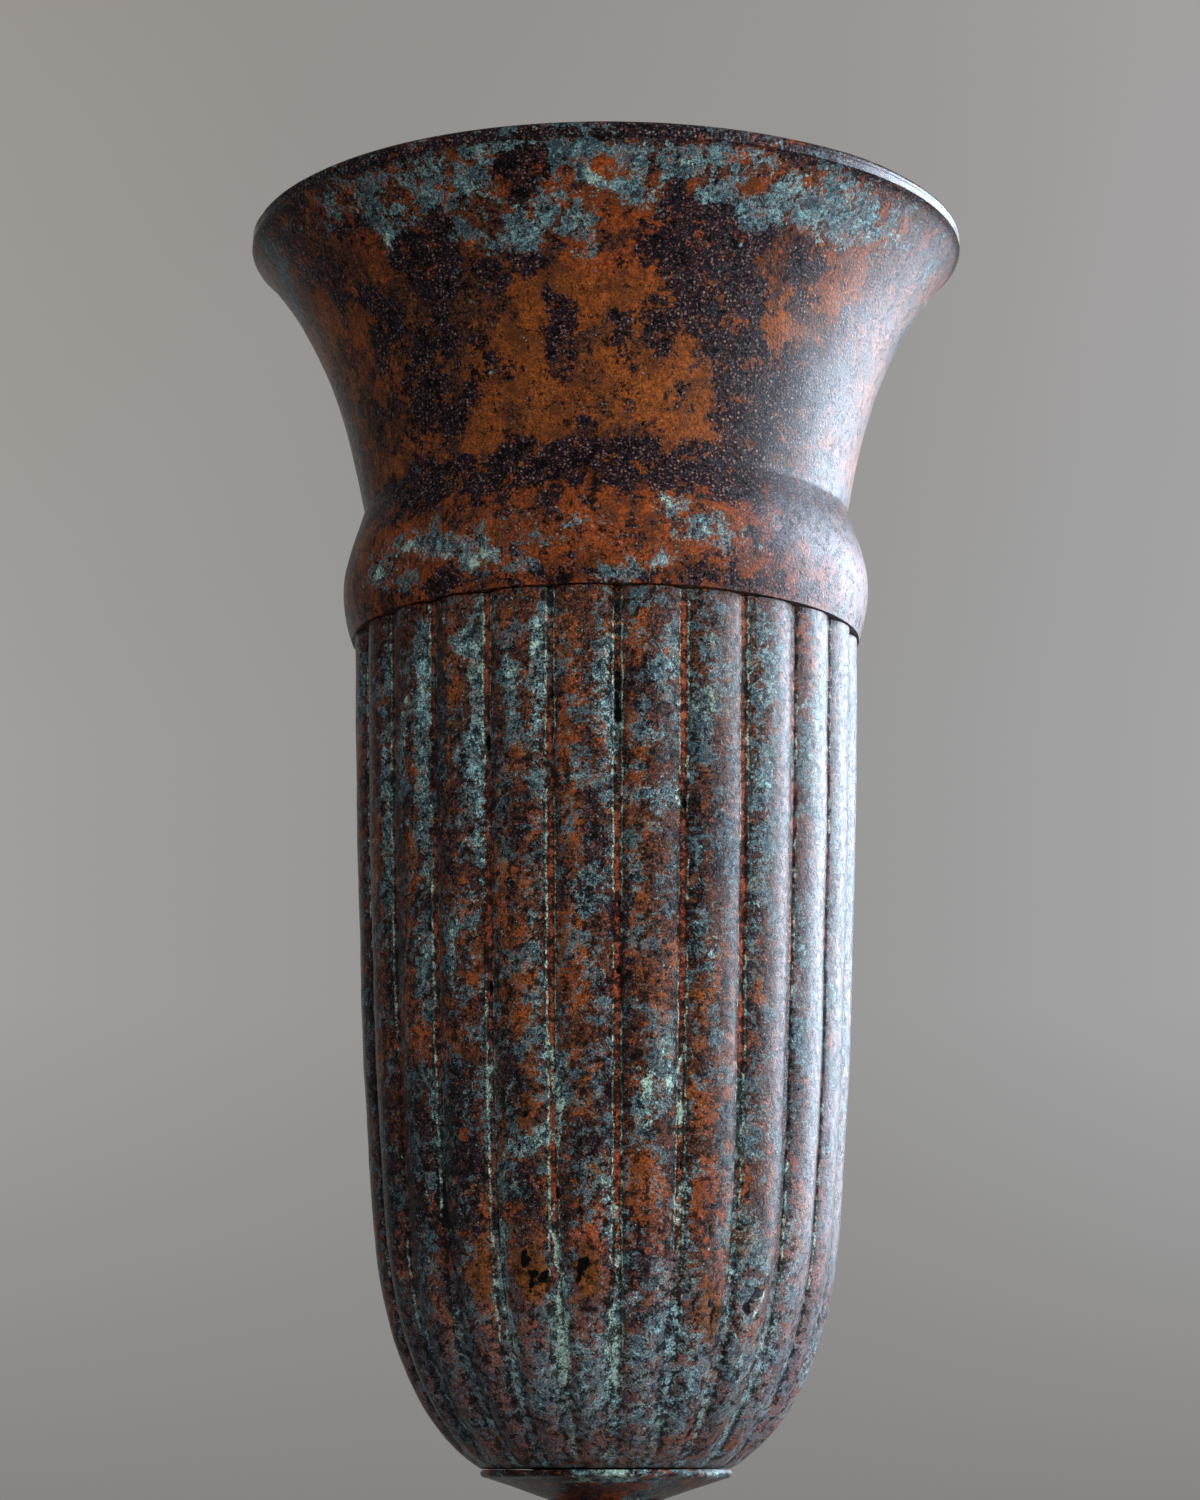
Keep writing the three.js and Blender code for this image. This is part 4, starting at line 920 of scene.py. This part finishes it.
def paintMouth(casting):
    wandered = wandering(casting, 100)
    degrees, height, paints = casting.degrees, casting.height, casting.paints
    heights, underLip, onCollar = (348, 424), (402, 420), (314, 330)
    unseen = {
        "rust": chanceSpots(21, 34, heights, 7, 8, 0.7),
        "verdigris": chanceSpots(22, 26, underLip, 5, 5, 0.7)
        + chanceSpots(23, 14, onCollar, 6, 3.5, 0.6),
        "dark": chanceSpots(24, 30, heights, 6, 8, 0.75),
        "mint": chanceSpots(25, 14, (400, 420), 3, 3, 0.4),
    }
    small = {
        "rust": chanceSpots(31, 200, heights, 1.6, 2.6, 0.45, everywhere),
        "verdigris": chanceSpots(32, 90, (396, 422), 1.3, 2, 0.4, everywhere)
        + chanceSpots(33, 60, (312, 332), 1.4, 1.4, 0.4, everywhere),
        "dark": chanceSpots(34, 240, (312, 424), 1.2, 2.2, 0.5, everywhere),
        "mint": chanceSpots(35, 40, (312, 420), 1, 1.4, 0.3, everywhere),
    }
    casting.paintSpots(mouth["base"], *wandered, {
        name: spots + unseen.get(name, []) + small.get(name, [])
        for name, spots in mouthSpots.items()
    })
    withoutChannels(casting)
    # dull lip, and a dark line above the collar's edge
    lip = smooth(height, 420.4, 421.6)
    paints["polish"] = lip
    paints["verdigris"] = paints["verdigris"] * (1 - lip) + 0.42 * lip
    casting.thin("rust", 0.6 * lip)
    casting.add("dark", 0.22 * lip)
    collarEdge = np.exp(-((height - 312.2) / 1.3) ** 2)
    collarEdge = collarEdge * smooth(casting.roughen([(14, 0.7)], 175), -0.7, 0.2)
    casting.add("dark", 0.6 * collarEdge)
    # patina layers push each other out
    bareDark, bareRust = smooth(paints["dark"], 0.78, 0.93), smooth(paints["rust"], 0.68, 0.88)
    bare = np.maximum(0.85 * bareDark, 0.6 * bareRust)
    casting.thin("verdigris", bare * smooth(height, 394, 400) * (1 - lip))
    casting.thin("dark", 0.35 * paints["verdigris"])
    casting.thin("rust", 0.25 * paints["dark"])
    # the collar is darker, with painted sheen towards its upper right; the trumpet is redder at both
    # ends
    collarPart = 1 - smooth(height, 334, 340)
    leftPart = 1 - smooth(degrees, -34, -16)
    casting.add("dark", 0.12 * collarPart)
    casting.thin("verdigris", 0.22 * collarPart)
    casting.thin("verdigris", 0.12 * leftPart * (1 - collarPart))
    # painted highlight: the collar's upper right is paler where the window light reflects
    sheenSide = smooth(degrees, 22, 50) * (1 - smooth(degrees, 84, 106))
    paints["bloomAndSheen"] = sheenSide * collarPart * (0.35 + 0.35 * smooth(height, 318, 328))
    tint = casting.roughen([(30, 0.5), (9, 0.3)], 170)
    low, high = 1 - smooth(height, 330, 350), smooth(height + 8 * tint, 386, 402)
    paints["red"] = np.clip(0.4 * low + 0.5 * high + 0.35 * tint, 0, 1)


def makeMouth():
    columnAngles = np.arange(mouth["columns"]) * (360 / mouth["columns"])
    casting = Casting(mouthOutline(), columnAngles)
    # only the outer side, which comes first in the outline, is rough
    radius, rowNumber = casting.outline[:, 0], np.arange(len(casting.outline))
    outer = (radius > 66) & (rowNumber < len(radius) * 0.62)
    outer = outer * smooth(casting.normal[:, 0], 0.1, 0.4)
    isOuter = np.broadcast_to(outer[:, None], casting.radius.shape)
    rough = casting.roughen(mouth["roughCast"], 90)
    casting.push(rough * isOuter - mouth["sunk"] * isOuter)
    paintMouth(casting)
    made = casting.build("trumpetMouth")
    made.data.materials.append(patinaMaterial("mouthPatina", mouth["looks"]))
    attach(made, "root")
    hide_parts("mouth_casting")
    print("mouth", len(made.data.vertices), "vertices")
    return made


# Stem with the ledge that carries the beaker
stem = {
    "foot": 38.3, "height": 45.2, "bead": 2.5, "baseRadius": 19.5, "waistRadius": 13.2,
    "waistHeight": 21.7, "neckRadius": 15.4, "ledgeRadius": 33.7, "ledgeEdge": 2.3, "edgeInset": 2,
    "edgeRound": 0.7, "edgeFlat": 0.4, "ledgeDrop": 5.5, "footRegister": 12, "ledgeRegister": 16.3,
    "registerDepth": 2.5, "seatGap": 0.3, "rodHole": 5.5, "columns": 200,
    "roughCast": [(14, 0.12), (5, 0.07)], "sunk": 0.12,
    "base": {"rust": 0.45, "verdigris": 0.2, "dark": 0.3, "mint": 0.02},
    "spots": {"rust": (16, 0.6), "verdigris": (16, 0.6), "dark": (14, 0.6), "mint": (6, 0.3)},
    "looks": {
        "grain": 1.0, "fleck": 0.36, "fleckInDark": 0.46, "pinheads": 0.6, "film": 0.74,
        "through": 0.5, "paleSpecks": 0.04, "olive": 0.4, "filmLow": 0.14, "rough": 0.3,
        "gloss": 0.8, "brown": 0.7, "crust": 0.9, "light": 1.16,
    },
}


def stemOutline():
    size = stem
    hole, register, below = size["rodHole"], size["footRegister"], -size["registerDepth"]
    bead, base, top = size["bead"], size["baseRadius"], size["height"]
    edge, bandFoot = size["ledgeRadius"], top - size["ledgeEdge"]
    seat = top - size["registerDepth"] - size["seatGap"]
    waist = (size["waistRadius"], size["waistHeight"])
    bandEdge = (edge - size["edgeInset"], bandFoot)
    edgeTop, ledgeTop = (edge, top - size["edgeRound"]), (edge - size["edgeFlat"], top)
    lower = sweep((base, 2 * bead), (0.8, 0.15), (1, 0.5), waist)
    upper = sweep(waist, (0, 0.5), (0.2, 0.85), (size["neckRadius"], bandFoot - size["ledgeDrop"]))
    outline = outlineOf(
        ([(hole, below), (register, below), (register, 0), (base, 0)], 2),
        (arc((base, bead), bead, -90, 90), 0.7),
        (lower, 1), (upper, 1),
        ([upper[-1], bandEdge], 1.2),
        (sweep(bandEdge, (0.9, 0.1), (1, 0.6), edgeTop), 0.5),
        ([edgeTop, ledgeTop], 0.4),
        ([ledgeTop, (size["ledgeRegister"], top), (size["ledgeRegister"], seat), (hole, seat)], 3),
        ([(hole, seat), (hole, below)], 6),
    )
    outline[:, 1] += size["foot"]
    return outline


# Stem and foot are painted by chance all round, from (count, strength) of each kind
def paintByChance(casting, seed, piece, heights):
    degrees, height = wandering(casting, seed)
    for k, (name, (count, strength)) in enumerate(piece["spots"].items()):
        big = chanceSpots(seed + k, count, heights, 16, 5, strength, everywhere)
        small = chanceSpots(seed + 10 + k, count * 4, heights, 5, 2, strength * 0.7, everywhere)
        casting.paintSpots(piece["base"], degrees, height, {name: big + small})
    casting.blank("halo", "pit")
    casting.paints["red"] = 0.6 + 0.5 * casting.roughen([(34, 0.6), (9, 0.4)], seed + 5)
    withoutChannels(casting)


def makeStem():
    casting = Casting(stemOutline(), np.arange(stem["columns"]) * (360 / stem["columns"]))
    casting.push(casting.roughen(stem["roughCast"], 120) - stem["sunk"])
    paintByChance(casting, 130, stem, (38, 84))
    # pale crust on the part of the ledge that the photograph shows
    ledge = smooth(casting.height, 79, 81) * (casting.radius > 28)
    patchy = smooth(casting.roughen([(16, 0.6), (5, 0.4)], 125), -0.3, 0.3)
    shown = smooth(casting.degrees, -28, -12) * (1 - smooth(casting.degrees, 70, 90))
    pale = ledge * (0.35 + 0.65 * shown)
    casting.add("verdigris", 0.9 * pale * patchy)
    casting.add("mint", 0.4 * pale * patchy)
    casting.add("dark", 0.2 * ledge * (1 - patchy))
    made = casting.build("stemAndLedge")
    made.data.materials.append(patinaMaterial("stemPatina", stem["looks"]))
    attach(made, "root")
    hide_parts("stem_casting")
    print("stem", len(made.data.vertices), "vertices")
    return made


# Stepped round foot, hollow underneath
foot = {
    "radius": 65, "plinth": 8, "edge": 0.8, "torus": 4.5, "torusRadius": 60, "filletRadius": 56,
    "filletHeight": 2, "height": 38, "topRadius": 23, "rest": 9, "wall": 10, "ceiling": 24,
    "ceilingRadius": 19, "shoulder": 11, "register": 12.3, "registerFloor": 35.2, "rodHole": 5.5,
    "columns": 300, "roughCast": [(22, 0.16), (7, 0.08)], "sunk": 0.18,
    "base": {"rust": 0.4, "verdigris": 0.16, "dark": 0.34, "mint": 0.02},
    "spots": {"rust": (26, 0.6), "verdigris": (24, 0.6), "dark": (22, 0.6), "mint": (8, 0.3)},
    "looks": {**stem["looks"], "grain": 0.9, "light": 1.0},
}


def footOutline():
    size = foot
    radius, plinth, edge, torus = size["radius"], size["plinth"], size["edge"], size["torus"]
    torusAt, torusTop = size["torusRadius"], plinth + 2 * torus
    fillet, filletTop = size["filletRadius"], torusTop + size["filletHeight"]
    rest, hollow = (radius - size["rest"], 0), (radius - size["wall"], size["shoulder"])
    ceiling = (size["ceilingRadius"], size["ceiling"])
    coveTop = (size["topRadius"], size["height"])
    register, registerFloor, hole = size["register"], size["registerFloor"], size["rodHole"]
    return outlineOf(
        ([rest, (radius - edge, 0)], 2),
        (arc((radius - edge, edge), edge, -90, 0), 0.4),
        ([(radius, edge), (radius, plinth - edge)], 1),
        (arc((radius - edge, plinth - edge), edge, 0, 90), 0.4),
        ([(radius - edge, plinth), (torusAt, plinth)], 1),
        (arc((torusAt, plinth + torus), torus, -90, 90), 0.8),
        ([(torusAt, torusTop), (fillet, torusTop), (fillet, filletTop)], 1),
        (sweep((fillet, filletTop), (0.35, 0.02), (0.9, 0.4), coveTop), 1.2),
        ([coveTop, (register, size["height"])], 2),
        ([(register, size["height"]), (register, registerFloor), (hole, registerFloor)], 2),
        ([(hole, registerFloor), (hole, size["ceiling"])], 4),
        ([(hole, size["ceiling"]), ceiling], 3),
        ([ceiling, hollow], 2), ([hollow, rest], 2),
    )


def makeFoot():
    casting = Casting(footOutline(), np.arange(foot["columns"]) * (360 / foot["columns"]))
    rough = casting.roughen(foot["roughCast"], 140) - foot["sunk"]
    casting.push(rough * smooth(casting.height, 0.2, 2))  # the resting face stays flat
    paintByChance(casting, 150, foot, (0, 38))
    # verdigris gathers in the corners above the moulding and the plinth
    gather = sum(np.exp(-((casting.height - at) / wide) ** 2) for at, wide in ((18, 2.2), (8.4, 1.2)))
    casting.add("verdigris", 0.35 * gather)
    made = casting.build("steppedFoot")
    made.data.materials.append(patinaMaterial("footPatina", foot["looks"]))
    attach(made, "root")
    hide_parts("foot_casting")
    print("foot", len(made.data.vertices), "vertices")
    return made


makeBeaker()
makeMouth()
makeStem()
makeFoot()

# Fixings and seal keep their own shapes: two tones, fineness of their cloud, roughness, metallic
fixings = {
    "steel": ((92, 84, 78), (120, 96, 76), 300.0, 0.45, 0.8),
    "putty": ((36, 33, 30), (58, 50, 44), 400.0, 0.8),
    "rubber": ((38, 33, 30), (52, 46, 42), 500.0, 0.75),
}
steel = plainMaterial("dullSteel", *fixings["steel"])
putty = plainMaterial("darkPutty", *fixings["putty"])
rubber = plainMaterial("blackRubber", *fixings["rubber"])
finishes = {"joint_seal": putty, "floor_gasket": rubber}
for nodeName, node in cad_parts.items():
    node.data.materials.clear()
    node.data.materials.append(finishes.get(nodeName, steel))
print("fixings", len(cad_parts), "nodes")

# Floor, lamps and camera, in metres
setting = {
    "floorHalf": 3, "floor": ((154, 151, 147), (155, 152, 148), 3.0, 0.8), "runOut": (0.2, 0.9),
    "backdropFoot": (133, 131, 129), "dimRoom": (44, 44, 46),
    "wall": ((150, 148, 145), (154, 154, 154), (161, 159, 156), (164, 164, 165)),
    "wallTop": ((144, 139, 135), (156, 153, 151), (153, 148, 143), (163, 160, 160)),
    "ambient": (0.97, 0.98, 1.0, 1), "ambientPower": 0.4,
    "lens": 88.32, "sensor": 36, "viewFrom": (-0.0016, -1.0, 0.0765), "tiltUp": 11.47,
}
# place, aim, size, watts, colour
lamps = {
    "sideWindow": ((1.42, 0.22, 0.5), (0, 0, 0.25), (2.8, 1.0), 40, (0.82, 0.91, 1.0)),
    "windowGloss": ((1.42, 1.02, 0.7), (0, 1.02, 0.7), (1.96, 1.05), 66, (0.72, 0.84, 1.0)),
    "frontSoft": ((0.9, -1.4, 0.6), (0, 0, 0.2), (1.2, 1.2), 14, (1.0, 0.97, 0.93)),
}

half = setting["floorHalf"]
corners = [(-half, -half, 0), (half, -half, 0), (half, half, 0), (-half, half, 0)]
floorMesh = bpy.data.meshes.new("floor")
floorMesh.from_pydata(corners, [], [(0, 1, 2, 3)])
floor = bpy.data.objects.new("floor", floorMesh)
bpy.context.scene.collection.objects.link(floor)
paleFloor = plainMaterial("paleFloor", *setting["floor"])
floorTree = paleFloor.node_tree
floorSurface = floorTree.nodes["Principled BSDF"]
floorSurface.inputs["Specular IOR Level"].default_value = 0
# away from the vase the floor runs out into the plain tone at the backdrop's foot
fromVase = vectorCalc(floorTree, "LENGTH", objectPlace(floorTree))
farShare = ranged(floorTree, fromVase, *setting["runOut"], interpolation_type="SMOOTHSTEP")
floorRays = addNode(floorTree, "ShaderNodeLightPath").outputs
farShare = calc(floorTree, "MULTIPLY", farShare, floorRays["Is Camera Ray"])
plainTone = addNode(floorTree, "ShaderNodeEmission", {"Color": tone(*setting["backdropFoot"])})
runOut = addNode(floorTree, "ShaderNodeMixShader", {
    0: farShare, 1: floorSurface.outputs[0], 2: plainTone.outputs[0],
})
floorTree.links.new(runOut.outputs[0], floorTree.nodes["Material Output"].inputs["Surface"])
floorMesh.materials.append(paleFloor)
floor.visible_glossy = False  # the iron reflects the dim room, not the pale floor
print("floor made")


def addLamp(name, place, aim, size, power, colour):
    lamp = bpy.data.lights.new(name, "AREA")
    lamp.shape = "RECTANGLE"
    lamp.size, lamp.size_y = size
    lamp.energy = power
    lamp.color = colour
    made = bpy.data.objects.new(name, lamp)
    made.location = place
    made.rotation_euler = (Vector(aim) - Vector(place)).to_track_quat("-Z", "Y").to_euler()
    bpy.context.scene.collection.objects.link(made)
    return made


sideWindow = addLamp("sideWindow", *lamps["sideWindow"])
sideWindow.visible_glossy = False
windowGloss = addLamp("windowGloss", *lamps["windowGloss"])
windowGloss.visible_diffuse = False
frontSoft = addLamp("frontSoft", *lamps["frontSoft"])
frontSoft.visible_glossy = False
print("lamps", len(lamps))

world = bpy.data.worlds.new("greyRoom")
bpy.context.scene.world = world
world.use_nodes = True
world.cycles.sampling_method = "NONE"  # gloss then sees the room as the light path below gives it
sky = world.node_tree
sky.nodes.clear()
direction = addNode(sky, "ShaderNodeTexCoord").outputs["Generated"]
sideways, deep, upward = addNode(sky, "ShaderNodeSeparateXYZ", {0: direction}).outputs
# the wall is lighter towards the right and away from the vase, darker low down and high up
rightShare = ranged(sky, sideways, -0.15, 0.15)
awayShare = ranged(sky, calc(sky, "ABSOLUTE", sideways), 0.06, 0.165)


def wallTone(nearLeft, nearRight, farLeft, farRight):
    near = mixTone(sky, rightShare, tone(*nearLeft), tone(*nearRight))
    far = mixTone(sky, rightShare, tone(*farLeft), tone(*farRight))
    return mixTone(sky, awayShare, near, far)


wall, wallTop = wallTone(*setting["wall"]), wallTone(*setting["wallTop"])
wallShare, topShare = ranged(sky, upward, -0.01, 0.13), ranged(sky, upward, 0.2, 0.4)
backdrop = mixTone(sky, wallShare, tone(*setting["backdropFoot"]), wall)
backdrop = mixTone(sky, topShare, backdrop, wallTop)
# gloss sees it only straight behind the vase, and a dim room everywhere else
rays = addNode(sky, "ShaderNodeLightPath").outputs
dimShare = calc(sky, "MULTIPLY", ranged(sky, deep, 0.9, 0.7), rays["Is Glossy Ray"])
backdrop = mixTone(sky, dimShare, backdrop, tone(*setting["dimRoom"]))
seen = addNode(sky, "ShaderNodeBackground", {"Color": backdrop, "Strength": 1.0})
ambient = addNode(sky, "ShaderNodeBackground", {
    "Color": setting["ambient"], "Strength": setting["ambientPower"],
})
direct = calc(sky, "MAXIMUM", rays["Is Camera Ray"], rays["Is Glossy Ray"])
direct = calc(sky, "MAXIMUM", direct, rays["Is Transmission Ray"])
both = addNode(sky, "ShaderNodeMixShader", {
    0: direct, 1: ambient.outputs[0], 2: seen.outputs[0],
})
addNode(sky, "ShaderNodeOutputWorld", {"Surface": both.outputs[0]})
print("backdrop made")

cameraData = bpy.data.cameras.new("photoView")
cameraData.lens = setting["lens"]
cameraData.sensor_width = setting["sensor"]
cameraData.sensor_fit = "AUTO"
camera = bpy.data.objects.new("photoView", cameraData)
camera.location = setting["viewFrom"]
camera.rotation_euler = (math.radians(90 + setting["tiltUp"]), 0, 0)
bpy.context.scene.collection.objects.link(camera)
bpy.context.scene.camera = camera
bpy.context.scene.view_settings.view_transform = "Standard"
